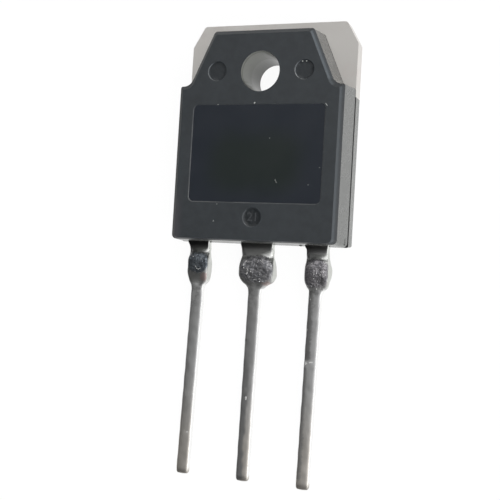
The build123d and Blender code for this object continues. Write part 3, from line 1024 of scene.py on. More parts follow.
@dataclass(frozen=True)
class Well:
    """A shallow recess in the front face, as rings of radius and height that step inwards."""

    centre: Point2
    steps: tuple[Point2, ...]
    core: Point2 = (0.0, 0.0)
    segments: int = 48
    texture: float = 0.0
    texture_top: float = 4.6
    grain: float = 4.0

    def cut(self, sheet: BMesh) -> tuple[list[BMEdge], BMFace]:
        """Builds the recess below the front face.

        Args:
            sheet: The housing's mesh.

        Returns:
            The edges of its outer ring, which the front face is joined to, and its floor.
        """
        radius, height = self.steps[0]
        middle = Vector((*self.centre, height))
        ring = round_ring(sheet, middle, self.core, radius, self.segments)
        mouth = rings_edges(ring)
        spokes = [vert.co - middle for vert in ring]
        for radius, height in self.steps[1:]:
            ring = next_ring(sheet, ring, lambda number, r=radius, h=height: self.point(spokes[number], r, h))
        floor = bmesh.ops.contextual_create(sheet, geom=rings_edges(ring))["faces"][0]
        return mouth, floor

    def point(self, spoke: Vector, radius: float, height: float) -> Vector:
        """Places a point of one step's ring, with the floor's texture on the deep ones.

        Args:
            spoke: The point's place on the outer ring, from the middle.
            radius: The step's radius.
            height: The step's height.

        Returns:
            The point.
        """
        corner = Vector((math.copysign(self.core[0], spoke.x), math.copysign(self.core[1], spoke.y)))
        flat = Vector(self.centre) + corner + (spoke.xy - corner).normalized() * radius
        rough = noise.noise(Vector((flat.x * self.grain, flat.y * self.grain, 1.0)))
        lift = self.texture * rough if height < self.texture_top else 0.0
        return Vector((flat.x, flat.y, height + lift))


@dataclass
class Housing:
    """The moulded housing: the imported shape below, and a newly cut front face above."""

    finish: Material
    panel: PanelPlace = PanelPlace()
    clear_depth: float = 0.3

    def build(self, node: Object) -> None:
        """Makes the housing from a merged copy of its CAD node.

        Args:
            node: The housing's CAD node.
        """
        sheet = packed_copy(node)
        self.clear_front(sheet)
        rims = self.front_rims(sheet)
        flat = broad_faces(sheet)
        for well in self.wells():
            mouth, floor = well.cut(sheet)
            rims += mouth
            flat.add(floor)
        filled = bmesh.ops.triangle_fill(sheet, edges=rims, use_beauty=True, normal=(0, 0, 1))["geom"]
        flat.update(item for item in filled if isinstance(item, BMFace))
        log.info("front face filled with %d faces", len(flat))
        finish_piece(sheet, "moulded_housing", self.finish, Slot.EPOXY, Node.HOUSING, sharp=28.0, flat=flat)

    def clear_front(self, sheet: BMesh) -> None:
        """Takes away the plain front face and its recesses.

        Args:
            sheet: The housing's mesh.
        """
        recess = FRONT - self.clear_depth
        plain = [face for face in sheet.faces if min(vert.co.z for vert in face.verts) > recess]
        bmesh.ops.delete(sheet, geom=plain, context="FACES")

    def front_rims(self, sheet: BMesh) -> list[BMEdge]:
        """The open edges of the front: the outline and the mounting hole."""
        return [edge for edge in sheet.edges if edge.is_boundary]

    def wells(self) -> list[Well]:
        """Shapes the recesses of the front face.

        Returns:
            The panel, the two ejector marks and the cavity mark.
        """
        corner = self.panel.corner
        rim = ((0.07, 0.0), (0.03, 0.003), (0.0, 0.012), (-0.025, 0.026), (-0.04, 0.040))
        steps = tuple((corner + out, FRONT - drop) for out, drop in rim)
        panel = Well(self.panel.middle, steps, self.panel.core, segments=64)
        drops = (0.0, 0.004, 0.014, 0.036, 0.070, 0.096, 0.098, 0.098, 0.098)
        crisp = (0.88, 0.862, 0.845, 0.828, 0.818, 0.79, 0.60, 0.40, 0.20)
        worn = (0.87, 0.85, 0.83, 0.79, 0.75, 0.71, 0.55, 0.38, 0.20)
        heights = [FRONT - drop for drop in drops]
        marks = [Well(centre, tuple(zip(crisp, heights)), texture=0.02) for centre in EJECTOR_MARKS]
        return [panel, *marks, Well(CAVITY_MARK, tuple(zip(worn, heights)), texture=0.05)]


@dataclass(frozen=True)
class Speck:
    """A grain lying on a surface: its place, half-sizes along its length and width, and its turn."""

    place: Point3
    length: float
    width: float
    height: float = 0.015
    turn: float = 0.0

    def add(self, sheet: BMesh) -> None:
        """Adds the grain as a small flattened ball.

        Args:
            sheet: The mesh that takes it.
        """
        shape = Matrix.Diagonal((self.length, self.width, self.height, 1.0))
        stand = Matrix.Translation(self.place) @ Matrix.Rotation(math.radians(self.turn), 4, "Z") @ shape
        bmesh.ops.create_icosphere(sheet, subdivisions=2, radius=1.0, matrix=stand)


@dataclass
class MouldScars:
    """Marks of moulding and handling: loose pale grains, flash, a bar stub and the cavity number."""

    epoxy: Material
    pale: Material
    worn: Material
    top: float = FRONT
    panel_top: float = 4.61
    hole_radius: float = 1.79
    hole_segments: int = 120
    flash_least: float = 0.022
    flash_thick: float = 0.11
    flash_peaks: tuple[Point2, ...] = ((55.0, 11.0), (228.0, 20.0))
    nub_foot: float = -14.82
    stub_place: Point3 = (7.735, -14.40, 2.10)
    stub_size: Point3 = (0.10, 0.60, 0.22)
    stub_bevel: float = 0.025
    number: str = "21"
    number_size: float = 1.05
    number_rise: float = 0.02
    number_round: float = 0.008
    number_place: Point3 = (0.06, -12.72, 4.553)

    def build(self) -> None:
        """Makes the pieces."""
        self.lay_grains()
        self.leave_nubs()
        self.leave_bar_stub()
        self.ring_the_hole()
        self.number_the_cavity()

    def lay_grains(self) -> None:
        """Scatters the pale grains and ticks on the front face and the panel."""
        top, panel = self.top, self.panel_top
        specks = (
            Speck((3.80, 0.75, top), 0.07, 0.05), Speck((4.16, 0.76, top), 0.06, 0.05),
            Speck((-0.34, -2.78, top), 0.09, 0.06, turn=60.0),
            Speck((6.12, -3.00, top), 0.16, 0.03, turn=-55.0),
            Speck((-3.74, -2.89, top), 0.05, 0.04), Speck((-3.52, -13.14, top), 0.09, 0.03, turn=75.0),
            Speck((-3.28, -11.66, top), 0.05, 0.03), Speck((1.22, -5.85, panel), 0.04, 0.03),
            Speck((1.94, -9.48, panel), 0.09, 0.022, turn=100.0),
            Speck((2.03, -9.64, panel), 0.07, 0.022, turn=130.0),
            Speck((4.89, -9.83, panel), 0.04, 0.03), Speck((5.80, -8.35, panel), 0.03, 0.03),
        )
        sheet = bmesh.new()
        for speck in specks:
            speck.add(sheet)
        finish_piece(sheet, "surface_grains", self.pale, Slot.EPOXY)

    def leave_nubs(self) -> None:
        """Leaves small nubs of flash along the lower wall, beside the leads."""
        sheet = bmesh.new()
        for x, size in ((-4.59, 0.16), (1.36, 0.10), (3.89, 0.17), (6.39, 0.14)):
            Speck((x, self.nub_foot, LEAD_HEIGHT), size, 0.13, 0.12).add(sheet)
        finish_piece(sheet, "lower_wall_flash", self.epoxy, Slot.EPOXY, sharp=180.0)

    def leave_bar_stub(self) -> None:
        """Leaves the cut end of a tie bar in the right wall, near the bottom corner."""
        sheet = bmesh.new()
        stand = Matrix.Translation(self.stub_place) @ Matrix.Diagonal((*self.stub_size, 1.0))
        stub = bmesh.ops.create_cube(sheet, size=1.0, matrix=stand)
        bmesh.ops.bevel(
            sheet,
            geom=rings_edges(stub["verts"]),
            offset=self.stub_bevel,
            segments=2,
            profile=0.5,
            affect="EDGES",
            material=-1,
            clamp_overlap=True,
        )
        finish_piece(sheet, "tie_bar_stub", self.epoxy, Slot.EPOXY)

    def ring_the_hole(self) -> None:
        """Leaves thin ragged flash inside the rim of the hole, thicker at two places."""
        sheet = bmesh.new()
        outer = self.hole_radius
        ring = round_ring(sheet, Vector((*HOLE, self.top - 0.03)), (0.0, 0.0), outer, self.hole_segments)
        start = rings_edges(ring)
        spokes = [Vector((vert.co.x, vert.co.y, 0.0)).normalized() for vert in ring]
        reach = [outer - self.flash_width(spoke) for spoke in spokes]
        for height in (self.top - 0.035, self.top - 0.075):
            lift = Vector((0, 0, height))
            ring = next_ring(sheet, ring, lambda number, lift=lift: spokes[number] * reach[number] + lift)
        low = Vector((0, 0, self.top - 0.09))
        ring = next_ring(sheet, ring, lambda number: spokes[number] * outer + low)
        bmesh.ops.bridge_loops(sheet, edges=start + rings_edges(ring))
        bmesh.ops.recalc_face_normals(sheet, faces=sheet.faces)
        finish_piece(sheet, "hole_rim_flash", self.epoxy, Slot.EPOXY, sharp=60.0)

    def flash_width(self, spoke: Vector) -> float:
        """Finds how far the flash reaches into the hole.

        Args:
            spoke: The direction from the hole's axis.

        Returns:
            The reach in millimetres.
        """
        angle = math.degrees(math.atan2(spoke.y, spoke.x)) % 360.0
        thick = max(math.exp(-(((angle - middle) / spread) ** 2)) for middle, spread in self.flash_peaks)
        ragged = 0.5 + 0.5 * noise.noise(spoke * 7.0) + 0.35 * noise.noise(spoke * 21.0)
        return self.flash_least + self.flash_thick * thick * max(0.15, ragged)

    def number_the_cavity(self) -> None:
        """Raises a small plain cavity number from the floor of the lower mark."""
        curve = bpy.data.curves.new("cavity_number", "FONT")
        curve.body = self.number
        curve.size = self.number_size
        curve.extrude = self.number_rise
        curve.bevel_depth = self.number_round
        curve.resolution_u = 3
        curve.align_x = "CENTER"
        curve.align_y = "CENTER"
        source = bpy.data.objects.new("cavity_number", curve)
        bpy.context.scene.collection.objects.link(source)
        bpy.context.view_layer.update()
        text = bpy.data.meshes.new_from_object(source.evaluated_get(bpy.context.evaluated_depsgraph_get()))
        bpy.data.objects.remove(source)
        sheet = bmesh.new()
        sheet.from_mesh(text)
        bmesh.ops.remove_doubles(sheet, verts=sheet.verts, dist=1e-4)
        bmesh.ops.translate(sheet, verts=sheet.verts, vec=self.number_place)
        finish_piece(sheet, "raised_cavity_number", self.worn, Slot.EPOXY)


# ---------------------------------------------------------------- leads and solder


@dataclass(frozen=True)
class Station:
    """One section across a lead: how far along it is, its middle, its sizes and how square it is."""

    y: float
    x: float
    half_width: float
    front: float
    back: float
    square: float

    def rates(self, other: Station) -> list[float]:
        """How fast each size changes on the way to another station."""
        pairs = ((getattr(self, part.name), getattr(other, part.name)) for part in fields(self))
        return [(last - first) / (other.y - self.y) for first, last in pairs]


def held(share: float) -> float:
    """A share held between none and the whole."""
    return min(1.0, max(0.0, share))


def rates_at(stations: Sequence[Station], index: int) -> list[float]:
    """How fast each size changes at a station, so that the skin bends through it with no crease.

    Args:
        stations: All the stations.
        index: The station's place among them.

    Returns:
        A rate for each size: none where the size turns round there.
    """
    above, below = max(index - 1, 0), min(index, len(stations) - 2)
    before = stations[above].rates(stations[above + 1])
    after = stations[below].rates(stations[below + 1])
    return [2.0 * one * two / (one + two) if one * two > 0 else 0.0 for one, two in zip(before, after)]


def section_at(stations: Sequence[Station], y: float) -> Station:
    """The section at a place between two stations.

    Args:
        stations: The stations, from the highest to the lowest.
        y: The place along the lead.

    Returns:
        The smoothly interpolated section.
    """
    index = next((at for at in range(len(stations) - 1) if stations[at + 1].y <= y), len(stations) - 2)
    start, end = stations[index], stations[index + 1]
    reach = end.y - start.y
    share = held((y - start.y) / reach)
    eased = share * share * (3.0 - 2.0 * share)
    leaving, arriving = share * (1.0 - share) ** 2 * reach, share * share * (share - 1.0) * reach
    sizes = []
    for part, out, into in zip(fields(Station), rates_at(stations, index), rates_at(stations, index + 1)):
        first, last = getattr(start, part.name), getattr(end, part.name)
        sizes.append(first + (last - first) * eased + out * leaving + into * arriving)
    return Station(*sizes)


@dataclass
class Sleeve:
    """A closed length of metal drawn through its stations, with a crowned front."""

    stations: tuple[Station, ...]
    spacing: float
    segments: int
    crown: float
    middle_height: float = LEAD_HEIGHT

    def build(self) -> BMesh:
        """Draws the skin from the first station to the last and closes both ends.

        Returns:
            The closed skin.
        """
        sheet = bmesh.new()
        first, last = self.stations[0], self.stations[-1]
        count = max(2, round((first.y - last.y) / self.spacing))
        stand = Matrix.Rotation(math.radians(90.0), 4, "X")
        ring = bmesh.ops.create_circle(sheet, segments=self.segments, radius=1.0, matrix=stand)["verts"]
        spokes = [vert.co.copy() for vert in ring]
        start = rings_edges(ring)
        for number, vert in enumerate(ring):
            vert.co = self.place(spokes[number], first)
        for step in range(1, count + 1):
            section = section_at(self.stations, first.y + (last.y - first.y) * step / count)
            ring = next_ring(sheet, ring, lambda number, section=section: self.place(spokes[number], section))
        bmesh.ops.contextual_create(sheet, geom=rings_edges(ring))
        bmesh.ops.contextual_create(sheet, geom=start)
        bmesh.ops.recalc_face_normals(sheet, faces=sheet.faces)
        return sheet

    def place(self, spoke: Vector, section: Station) -> Vector:
        """Places a point of a section, a rounded rectangle with its own front and back height.

        Args:
            spoke: The point's direction from the middle.
            section: The section.

        Returns:
            The point.
        """
        power = section.square
        stretch = (abs(spoke.x) ** power + abs(spoke.z) ** power) ** (-1.0 / power)
        across, up = spoke.x * stretch, spoke.z * stretch
        reach = section.front - self.middle_height if up > 0 else self.middle_height - section.back
        reach -= self.crown * across**2
        return Vector((section.x + across * section.half_width, section.y, self.middle_height + up * reach))


@dataclass
class LeadBlade:
    """The long blade of one lead, dipped in tin and slightly crowned, with the lead's lean."""

    lead: str
    root: float
    lean: float
    tip: float = -35.62
    half_width: float = 0.555
    half_height: float = 0.325
    square: float = 8.0
    crown: float = 0.035
    spacing: float = 0.05
    start: float = -18.2
    pitch: float = 0.9
    bend: float = -20.0
    lean_end: float = -35.6
    wobble: float = 0.012

    def middle(self, y: float) -> float:
        """The lead's middle at a place along it: straight to the bend and leaning after it."""
        return self.root + self.lean * max(0.0, (self.bend - y) / (self.bend - self.lean_end))

    def station(self, y: float, width: float = 1.0, height: float = 1.0) -> Station:
        """Cuts a section of the blade.

        Args:
            y: Its place along the lead.
            width: Its width as a share of the full one.
            height: Its height as a share of the full one.

        Returns:
            The section.
        """
        rise = self.half_height * height
        front, back = LEAD_HEIGHT + rise, LEAD_HEIGHT - rise
        return Station(y, self.middle(y), self.half_width * width, front, back, self.square)

    def build(self, finish: Material) -> None:
        """Makes the blade.

        Args:
            finish: The tin.
        """
        tip = self.tip
        widths = [1.0 + self.wobble * (-1) ** step for step in range(19)]
        stations = [self.station(self.start - self.pitch * step, width) for step, width in enumerate(widths)]
        stations += [
            self.station(tip + 0.50),
            self.station(tip + 0.26, 0.97, 0.92),
            self.station(tip + 0.12, 0.91, 0.76),
            self.station(tip + 0.04, 0.80, 0.55),
            self.station(tip, 0.62, 0.34),
            self.station(tip - 0.01, 0.30, 0.15),
        ]
        sheet = Sleeve(tuple(stations), self.spacing, 72, self.crown).build()
        sheet.normal_update()
        offset = Vector((self.root, 0, 0))
        moves = [vert.normal * noise.noise(vert.co * 1.7 + offset) * self.wobble for vert in sheet.verts]
        for vert, move in zip(sheet.verts, moves):
            vert.co += move
        finish_piece(sheet, f"{self.lead}_lead_blade", finish, Slot.LEAD, sharp=70.0)


@dataclass
class LeadFrame:
    """The stamped plate and the lead roots, cut off inside the housing where the solder takes over."""

    cut: float = -14.70

    def build(self, nodes: dict[str, Object], plate: Material, lead: Material) -> None:
        """Makes the plate and the two lead roots.

        Args:
            nodes: The CAD nodes by name.
            plate: The plate's finish.
            lead: The roots' finish.
        """
        self.copy(nodes, Node.PLATE, "mounting_plate", plate, Slot.PLATE)
        self.copy(nodes, Node.GATE_LEAD, "gate_lead_root", lead, Slot.LEAD)
        self.copy(nodes, Node.EMITTER_LEAD, "emitter_lead_root", lead, Slot.LEAD)

    def copy(self, nodes: dict[str, Object], node: Node, name: str, finish: Material, slot: Slot) -> None:
        """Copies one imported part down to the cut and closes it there.

        Args:
            nodes: The CAD nodes by name.
            node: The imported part.
            name: The piece's name.
            finish: Its material.
            slot: The record's slot.
        """
        sheet = packed_copy(nodes[node.value])
        geometry = [*sheet.verts, *sheet.edges, *sheet.faces]
        cut = bmesh.ops.bisect_plane(
            sheet, geom=geometry, plane_co=(0.0, self.cut, 0.0), plane_no=(0.0, -1.0, 0.0), clear_outer=True
        )["geom_cut"]
        bmesh.ops.contextual_create(sheet, geom=[item for item in cut if isinstance(item, BMEdge)])
        bmesh.ops.recalc_face_normals(sheet, faces=sheet.faces)
        finish_piece(sheet, name, finish, slot, node, flat=broad_faces(sheet))


@dataclass
class SolderLump:
    """Old solder on one lead: a thin smooth coat up to the housing and a broken lump below."""

    lead: str
    node: Node
    stations: tuple[Station, ...]
    patch: BrokenPatch
    stain: Point2
    seed: float
    tone: Colour
    # How dark the painted shade near the housing is.
    dim: float
    old: float = 0.36
    coarse: float = 1.0
    crown: float = 0.02
    spacing: float = 0.04
    top: float = -15.7
    foot: float = -19.0
    torn_above: float = 2.45

    def build(self) -> None:
        """Makes the lump and roughens it."""
        sheet = Sleeve(self.stations, self.spacing, 160, self.crown).build()
        self.roughen(sheet)
        finish = SolderFinish(self.lead, self.patch, self.stain, self.tone, self.old, self.dim).make()
        finish_piece(sheet, f"{self.lead}_lead_solder", finish, Slot.SOLDER, self.node, sharp=75.0)

    def roughen(self, sheet: BMesh) -> None:
        """Breaks up the lump's front patch and lets the rest of it sag a little.

        Args:
            sheet: The lump's mesh.
        """
        sheet.normal_update()
        offset = Vector((self.seed, self.seed * 2.0, 0.0))
        moves = []
        for vert in sheet.verts:
            spot = vert.co + offset
            lump = held((self.top - vert.co.y) / 0.5) * held((vert.co.y - self.foot) / 0.4)
            sag = noise.noise(spot * 1.1) * 0.09 * lump
            torn = held(self.patch.depth(vert.co) / 0.15 + 0.3) if vert.co.z > self.torn_above else 0.0
            ridge = (noise.ridged_multi_fractal(spot * 2.6, 0.9, 2.1, 4, 1.0, 2.0) - 1.1) * 0.024
            crumb = noise.turbulence(spot * 5.0, 3, True) * 0.036
            moves.append(vert.normal * (sag + (ridge + crumb) * torn * lump * self.coarse))
        for vert, move in zip(sheet.verts, moves):
            vert.co += move


def drawn_through(*rows: tuple[float, ...]) -> tuple[Station, ...]:
    """Turns rows of y, x, half-width, front, back and squareness into stations."""
    return tuple(Station(*row) for row in rows)


def gate_lump() -> SolderLump:
    """Shapes the lump on the left lead.

    Returns:
        The lump.
    """
    stations = drawn_through(
        (-14.68, -5.61, 1.05, 2.715, 2.085, 14.0), (-14.95, -5.60, 1.03, 2.715, 2.085, 14.0),
        (-15.20, -5.53, 0.97, 2.715, 2.085, 12.0), (-15.44, -5.48, 0.94, 2.73, 2.07, 10.0),
        (-15.60, -5.47, 0.94, 2.79, 2.00, 4.5), (-15.84, -5.48, 0.96, 2.91, 1.90, 2.8),
        (-16.08, -5.47, 0.97, 3.02, 1.82, 3.4), (-16.60, -5.46, 0.98, 3.11, 1.77, 7.0),
        (-17.50, -5.45, 0.99, 3.10, 1.78, 8.0), (-18.00, -5.45, 0.96, 3.03, 1.86, 7.0),
        (-18.35, -5.44, 0.86, 2.93, 1.95, 6.0), (-18.70, -5.48, 0.62, 2.80, 2.04, 6.0),
        (-19.20, -5.52, 0.53, 2.735, 2.065, 7.0),
    )
    patch = BrokenPatch((-5.40, -16.78), (0.16, 0.10), 0.84)
    stain, tone = (-4.75, -18.05), (0.62, 0.69, 0.75)
    node = Node.GATE_SOLDER
    return SolderLump("gate", node, stations, patch, stain, 3.0, tone, old=0.50, dim=0.28, coarse=0.45)


def collector_lump() -> SolderLump:
    """Shapes the lump on the middle lead.

    Returns:
        The lump.
    """
    stations = drawn_through(
        (-14.68, -0.07, 1.53, 2.715, 2.085, 16.0), (-14.95, -0.06, 1.52, 2.715, 2.085, 16.0),
        (-15.18, -0.03, 1.48, 2.72, 2.085, 14.0), (-15.50, 0.02, 1.46, 2.76, 2.05, 10.0),
        (-15.74, 0.02, 1.46, 2.83, 1.97, 4.5), (-16.02, 0.04, 1.49, 2.93, 1.88, 2.7),
        (-16.32, 0.06, 1.54, 3.04, 1.80, 3.4), (-17.00, 0.08, 1.60, 3.11, 1.76, 7.0),
        (-17.60, 0.10, 1.61, 3.10, 1.78, 8.0), (-18.00, 0.10, 1.51, 3.04, 1.84, 7.0),
        (-18.30, 0.11, 1.30, 2.97, 1.92, 6.0), (-18.60, 0.05, 0.90, 2.88, 2.00, 5.0),
        (-18.90, -0.05, 0.62, 2.78, 2.05, 6.0), (-19.50, -0.07, 0.53, 2.735, 2.065, 7.0),
    )
    patch = BrokenPatch((0.12, -17.12), (0.38, 0.05), 1.13)
    stain, tone = (0.95, -18.25), (1.16, 1.16, 1.18)
    return SolderLump("collector", Node.COLLECTOR_SOLDER, stations, patch, stain, 11.0, tone, dim=0.55)


def emitter_lump() -> SolderLump:
    """Shapes the lump on the right lead, with its residue running furthest down.

    Returns:
        The lump.
    """
    stations = drawn_through(
        (-14.68, 5.40, 1.08, 2.715, 2.085, 14.0), (-14.95, 5.41, 1.06, 2.715, 2.085, 14.0),
        (-15.20, 5.47, 0.98, 2.72, 2.08, 12.0), (-15.52, 5.49, 0.97, 2.74, 2.05, 10.0),
        (-15.75, 5.50, 0.99, 2.81, 1.96, 4.5), (-16.00, 5.50, 1.02, 2.91, 1.87, 2.7),
        (-16.28, 5.52, 1.05, 3.03, 1.80, 3.2), (-16.90, 5.59, 1.09, 3.11, 1.76, 6.0),
        (-17.50, 5.60, 1.10, 3.10, 1.78, 6.5), (-18.00, 5.55, 1.04, 3.04, 1.86, 6.5),
        (-18.45, 5.58, 0.90, 2.93, 1.94, 6.0), (-18.75, 5.52, 0.64, 2.81, 2.03, 6.0),
        (-19.20, 5.46, 0.55, 2.75, 2.06, 6.0), (-20.10, 5.45, 0.53, 2.735, 2.065, 7.0),
    )
    patch = BrokenPatch((5.56, -17.24), (0.12, 0.38), 0.90)
    stain, tone = (6.95, -18.2), (1.15, 1.12, 1.15)
    node = Node.EMITTER_SOLDER
    return SolderLump("emitter", node, stations, patch, stain, 23.0, tone, dim=0.45, coarse=0.65)


def scatter_flecks(pale: Material) -> None:
    """Scatters pale flecks and scratches of old flux on the broken patches and on the right lead.

    Args:
        pale: The flecks' finish.
    """
    lump, lead = 3.13, 2.73
    flecks = (
        Speck((-5.58, -17.14, lump), 0.07, 0.03, 0.10, 110.0),
        Speck((-5.47, -17.31, lump), 0.09, 0.03, 0.10, 145.0),
        Speck((-5.30, -17.37, lump), 0.09, 0.03, 0.10, 10.0),
        Speck((-5.14, -17.29, lump), 0.07, 0.03, 0.10, 40.0),
        Speck((-5.02, -16.47, lump), 0.04, 0.02, 0.10, 60.0),
        Speck((-5.85, -16.28, lump), 0.08, 0.02, 0.10, 60.0),
        Speck((-0.82, -16.48, lump), 0.10, 0.04, 0.10, 60.0),
        Speck((-1.02, -16.78, lump), 0.12, 0.035, 0.12, 75.0),
        Speck((-0.97, -17.05, lump), 0.09, 0.03, 0.12, 100.0),
        Speck((-0.35, -17.33, lump), 0.08, 0.05, 0.10, 140.0),
        Speck((-0.64, -17.15, lump), 0.16, 0.025, 0.10, 120.0),
        Speck((-0.66, -17.52, lump), 0.15, 0.025, 0.10, 70.0),
        Speck((0.05, -18.05, lump), 0.13, 0.03, 0.12, 10.0),
        Speck((0.24, -16.51, lump), 0.06, 0.03, 0.10, 30.0),
        Speck((0.72, -16.50, lump), 0.22, 0.02, 0.12, 135.0),
        Speck((0.93, -17.68, lump), 0.04, 0.03, 0.10, 0.0),
        Speck((0.49, -17.95, lump), 0.05, 0.03, 0.12, 0.0),
        Speck((5.42, -17.30, lump), 0.07, 0.03, 0.10, 30.0),
        Speck((5.41, -17.69, lump), 0.06, 0.04, 0.10, 20.0),
        Speck((6.01, -17.09, lump), 0.05, 0.03, 0.10, 0.0),
        Speck((5.99, -17.34, lump), 0.05, 0.03, 0.10, 60.0),
        Speck((6.28, -17.43, lump), 0.05, 0.03, 0.10, 0.0),
        Speck((5.66, -18.55, 2.93), 0.07, 0.05, 0.10, 90.0),
        Speck((5.14, -16.40, lump), 0.09, 0.03, 0.10, 150.0),
        Speck((5.02, -19.18, lead), 0.03, 0.02, 0.03, 0.0),
        Speck((5.10, -19.46, lead), 0.05, 0.03, 0.03, 90.0),
        Speck((5.19, -19.77, lead), 0.03, 0.02, 0.03, 0.0),
        Speck((5.19, -20.54, lead), 0.03, 0.02, 0.03, 0.0),
        Speck((4.97, -22.10, lead), 0.09, 0.02, 0.03, 60.0),
        Speck((5.06, -24.95, lead), 0.05, 0.04, 0.04, 80.0),
    )
    sheet = bmesh.new()
    for fleck in flecks:
        fleck.add(sheet)
    finish_piece(sheet, "flux_flecks", pale, Slot.SOLDER)


# ---------------------------------------------------------------- studio


@dataclass(frozen=True)
class Lamp:
    """A soft square lamp: its place and side in millimetres, and its power in watts."""

    name: str
    place: Point3
    side: float
    watts: float
    mirrored: bool = True


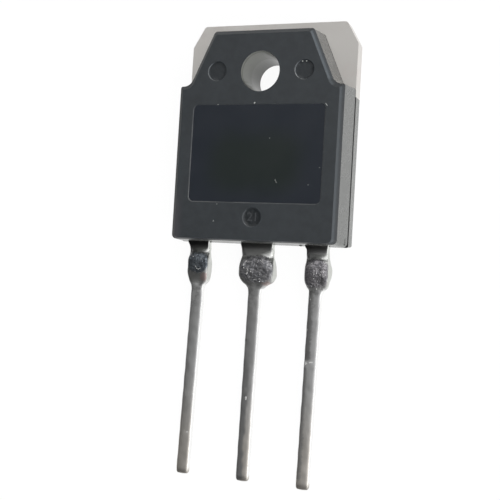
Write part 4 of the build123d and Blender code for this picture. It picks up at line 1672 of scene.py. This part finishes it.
@dataclass
class Studio:
    """The camera, the pale floor with its low cove, the dim room above, and soft lamps."""

    lens: float = 68.434
    sensor: float = 36.0
    eye: Point3 = (27.918, -19.017, 81.268)
    turn: Point3 = (19.989, 2.438, 3.395)
    aim: Point3 = (0.0, -12.0, 0.0)
    cove_radius: float = 450.0
    cove_height: float = 160.0
    cove_bend: float = 60.0
    floor_middle: Point3 = (0.0, -15.0, -0.01)
    paper: float = 0.85
    glow: float = 1.02
    glow_share: float = 0.93
    dark_side: Point3 = (-0.45, -0.10, 0.89)
    bright_side: Point3 = (0.70, 0.71, 0.0)
    darkest: float = 0.02
    weak_light: float = 0.15
    strong_light: float = 1.10
    lamps: tuple[Lamp, ...] = (
        Lamp("key_lamp", (170.0, -220.0, 300.0), 220.0, 0.9, mirrored=False),
        Lamp("fill_lamp", (330.0, -160.0, 110.0), 160.0, 0.22),
        Lamp("glint_lamp", (110.0, 270.0, 290.0), 150.0, 0.25),
    )

    def set_up(self) -> None:
        """Makes everything that isn't part of the object."""
        bpy.context.scene.view_settings.view_transform = "Standard"
        self.place_camera()
        self.light_room()
        self.lay_floor()
        for lamp in self.lamps:
            self.hang_lamp(lamp)

    def place_camera(self) -> None:
        """Makes the camera, looking down on the front face from the lower right."""
        camera = bpy.data.cameras.new("camera")
        camera.lens = self.lens
        camera.sensor_width = self.sensor
        camera.clip_start = 0.005
        camera.clip_end = 10.0
        holder = bpy.data.objects.new("camera", camera)
        yaw, pitch, roll = (math.radians(angle) for angle in self.turn)
        facing = Matrix.Rotation(yaw, 4, "Y") @ Matrix.Rotation(pitch, 4, "X") @ Matrix.Rotation(roll, 4, "Z")
        holder.matrix_world = Matrix.Translation(Vector(self.eye) * MM) @ facing
        bpy.context.scene.collection.objects.link(holder)
        bpy.context.scene.camera = holder

    def light_room(self) -> None:
        """Lights the room: dark overhead, weak light at the lower left and strong at the upper right."""
        world = bpy.data.worlds.new("studio")
        world.use_nodes = True
        bench = NodeBench(world.node_tree)
        ray = bench.add("ShaderNodeTexCoord").outputs["Generated"]
        patch = bench.ramp(self.along(bench, ray, self.dark_side), 0.70, 0.985, 1.0, self.darkest)
        bright = self.along(bench, ray, self.bright_side)
        sides = bench.ramp(bright, -0.7, 0.35, self.weak_light, self.strong_light)
        sky = bench.tree.nodes["Background"]
        bench.join(bench.times(sides, patch), sky.inputs["Strength"])
        sky.inputs["Color"].default_value = (*WHITE, 1.0)
        bpy.context.scene.world = world

    def along(self, bench: NodeBench, ray: NodeSocket, heading: Point3) -> NodeSocket:
        """Finds how far a direction points along a heading, from -1 to 1.

        Args:
            bench: The world's nodes.
            ray: The direction.
            heading: The heading.

        Returns:
            The cosine between them.
        """
        node = bench.add("ShaderNodeVectorMath")
        node.operation = "DOT_PRODUCT"
        node.inputs[1].default_value = Vector(heading).normalized()
        bench.join(ray, node.inputs[0])
        return node.outputs["Value"]

    def white_paper(self) -> Material:
        """Makes paper that reads as white, takes shadows, and darkens to the left in reflections.

        Returns:
            The material.
        """
        paper = bpy.data.materials.new("white_paper")
        paper.use_nodes = True
        bench = NodeBench(paper.node_tree)
        bench.tree.nodes.clear()
        path = bench.add("ShaderNodeLightPath").outputs
        mirrored = bench.most(path["Is Glossy Ray"], path["Is Transmission Ray"])
        share = bench.most(bench.times(path["Is Camera Ray"], self.glow_share), mirrored)
        split = bench.add("ShaderNodeSeparateXYZ")
        bench.join(bench.add("ShaderNodeTexCoord").outputs["Object"], split.inputs["Vector"])
        across = bench.ramp(split.outputs["X"], -0.030, -0.008, 0.2, 1.0)
        along = bench.ramp(split.outputs["Y"], 0.015, 0.060, 1.0, 0.25)
        level = bench.most(bench.times(across, along), path["Is Camera Ray"])
        matt = bench.add("ShaderNodeBsdfDiffuse")
        matt.inputs["Color"].default_value = (self.paper, self.paper, self.paper, 1.0)
        glow = bench.add("ShaderNodeEmission")
        bench.join(bench.times(level, self.glow), glow.inputs["Strength"])
        both = bench.add("ShaderNodeMixShader")
        for number, source in enumerate((share, matt.outputs["BSDF"], glow.outputs["Emission"])):
            bench.join(source, both.inputs[number])
        output = bench.add("ShaderNodeOutputMaterial")
        bench.join(both.outputs["Shader"], output.inputs["Surface"])
        return paper

    def lay_floor(self) -> None:
        """Makes the floor and the low wall that curves up round it, as one turned sheet."""
        sheet = bmesh.new()
        steps = 8
        flat = self.cove_radius - self.cove_bend
        profile = [Vector((0.0, 0.0, 0.0)), Vector((flat, 0.0, 0.0))]
        for step in range(1, steps + 1):
            angle = math.radians(90.0) * step / steps
            rise = Vector((math.sin(angle), 0.0, 1.0 - math.cos(angle)))
            profile.append(Vector((flat, 0.0, 0.0)) + rise * self.cove_bend)
        profile.append(Vector((self.cove_radius, 0.0, self.cove_height)))
        points = [sheet.verts.new(point) for point in profile]
        line = [sheet.edges.new(pair) for pair in zip(points, points[1:])]
        around = {"cent": (0, 0, 0), "axis": (0, 0, 1), "angle": math.tau, "steps": 64}
        bmesh.ops.spin(sheet, geom=points + line, use_merge=True, **around)
        bmesh.ops.remove_doubles(sheet, verts=sheet.verts, dist=1e-3)
        bmesh.ops.recalc_face_normals(sheet, faces=sheet.faces)
        bmesh.ops.translate(sheet, verts=sheet.verts, vec=self.floor_middle)
        bmesh.ops.scale(sheet, vec=(MM, MM, MM), verts=sheet.verts)
        mesh = bpy.data.meshes.new("floor")
        sheet.to_mesh(mesh)
        sheet.free()
        mesh.materials.append(self.white_paper())
        mesh.shade_smooth()
        floor = bpy.data.objects.new("floor", mesh)
        bpy.context.scene.collection.objects.link(floor)

    def hang_lamp(self, lamp: Lamp) -> None:
        """Hangs one lamp so that it faces the object.

        Args:
            lamp: The lamp.
        """
        light = bpy.data.lights.new(lamp.name, "AREA")
        light.shape = "SQUARE"
        light.size = lamp.side * MM
        light.energy = lamp.watts
        place = Vector(lamp.place)
        facing = (Vector(self.aim) - place).to_track_quat("-Z", "Y").to_matrix().to_4x4()
        holder = bpy.data.objects.new(lamp.name, light)
        holder.matrix_world = Matrix.Translation(place * MM) @ facing
        holder.visible_glossy = lamp.mirrored
        bpy.context.scene.collection.objects.link(holder)


def dress_frame(nodes: dict[str, Object]) -> None:
    """Gives each CAD node that stays its finish.

    Args:
        nodes: The CAD nodes by name.
    """
    wire = InnerFinish("aluminium_wire", (0.80, 0.80, 0.81), 0.25, 1.0, 0.2).make()
    finishes = {
        Node.DIE_ATTACH: InnerFinish("die_attach_solder", (0.45, 0.45, 0.44), 0.45, 1.0, 0.4).make(),
        Node.DIE: InnerFinish("metallised_silicon", (0.62, 0.62, 0.64), 0.22, 1.0, 1.2).make(),
        Node.GATE_WIRE: wire,
        Node.WIRE_1: wire,
        Node.WIRE_2: wire,
        Node.WIRE_3: wire,
    }
    for node, finish in finishes.items():
        dress(nodes[node.value], finish)


def main() -> None:
    """Builds the studio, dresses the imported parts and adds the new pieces."""
    logging.basicConfig(level=logging.INFO)
    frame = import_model()
    nodes: dict[str, Object] = frame["nodes"]
    Studio().set_up()
    dress_frame(nodes)
    epoxy = EpoxyFinish().make()
    Housing(epoxy).build(nodes[Node.HOUSING.value])
    pale = InnerFinish("pale_filler_grain", (0.34, 0.35, 0.34), 0.5, 0.0, 0.1).make()
    worn = InnerFinish("worn_moulding_compound", (0.040, 0.043, 0.047), 0.45, 0.0, 0.3).make()
    MouldScars(epoxy, pale, worn).build()
    scatter_flecks(InnerFinish("pale_flux_fleck", (0.42, 0.42, 0.41), 0.5, 0.0, 0.1).make())
    root = InnerFinish("plated_copper_root", (0.55, 0.53, 0.50), 0.35, 1.0, 0.5).make()
    LeadFrame().build(nodes, PlateFinish().make(), root)
    tin = TinFinish().make()
    blades = (
        LeadBlade("gate", -5.51, -0.40),
        LeadBlade("collector", -0.08, -0.14),
        LeadBlade("emitter", 5.45, -0.20, -35.70),
    )
    for blade in blades:
        blade.build(tin)
    for lump in (gate_lump(), collector_lump(), emitter_lump()):
        lump.build()


if __name__ == "__main__":
    main()
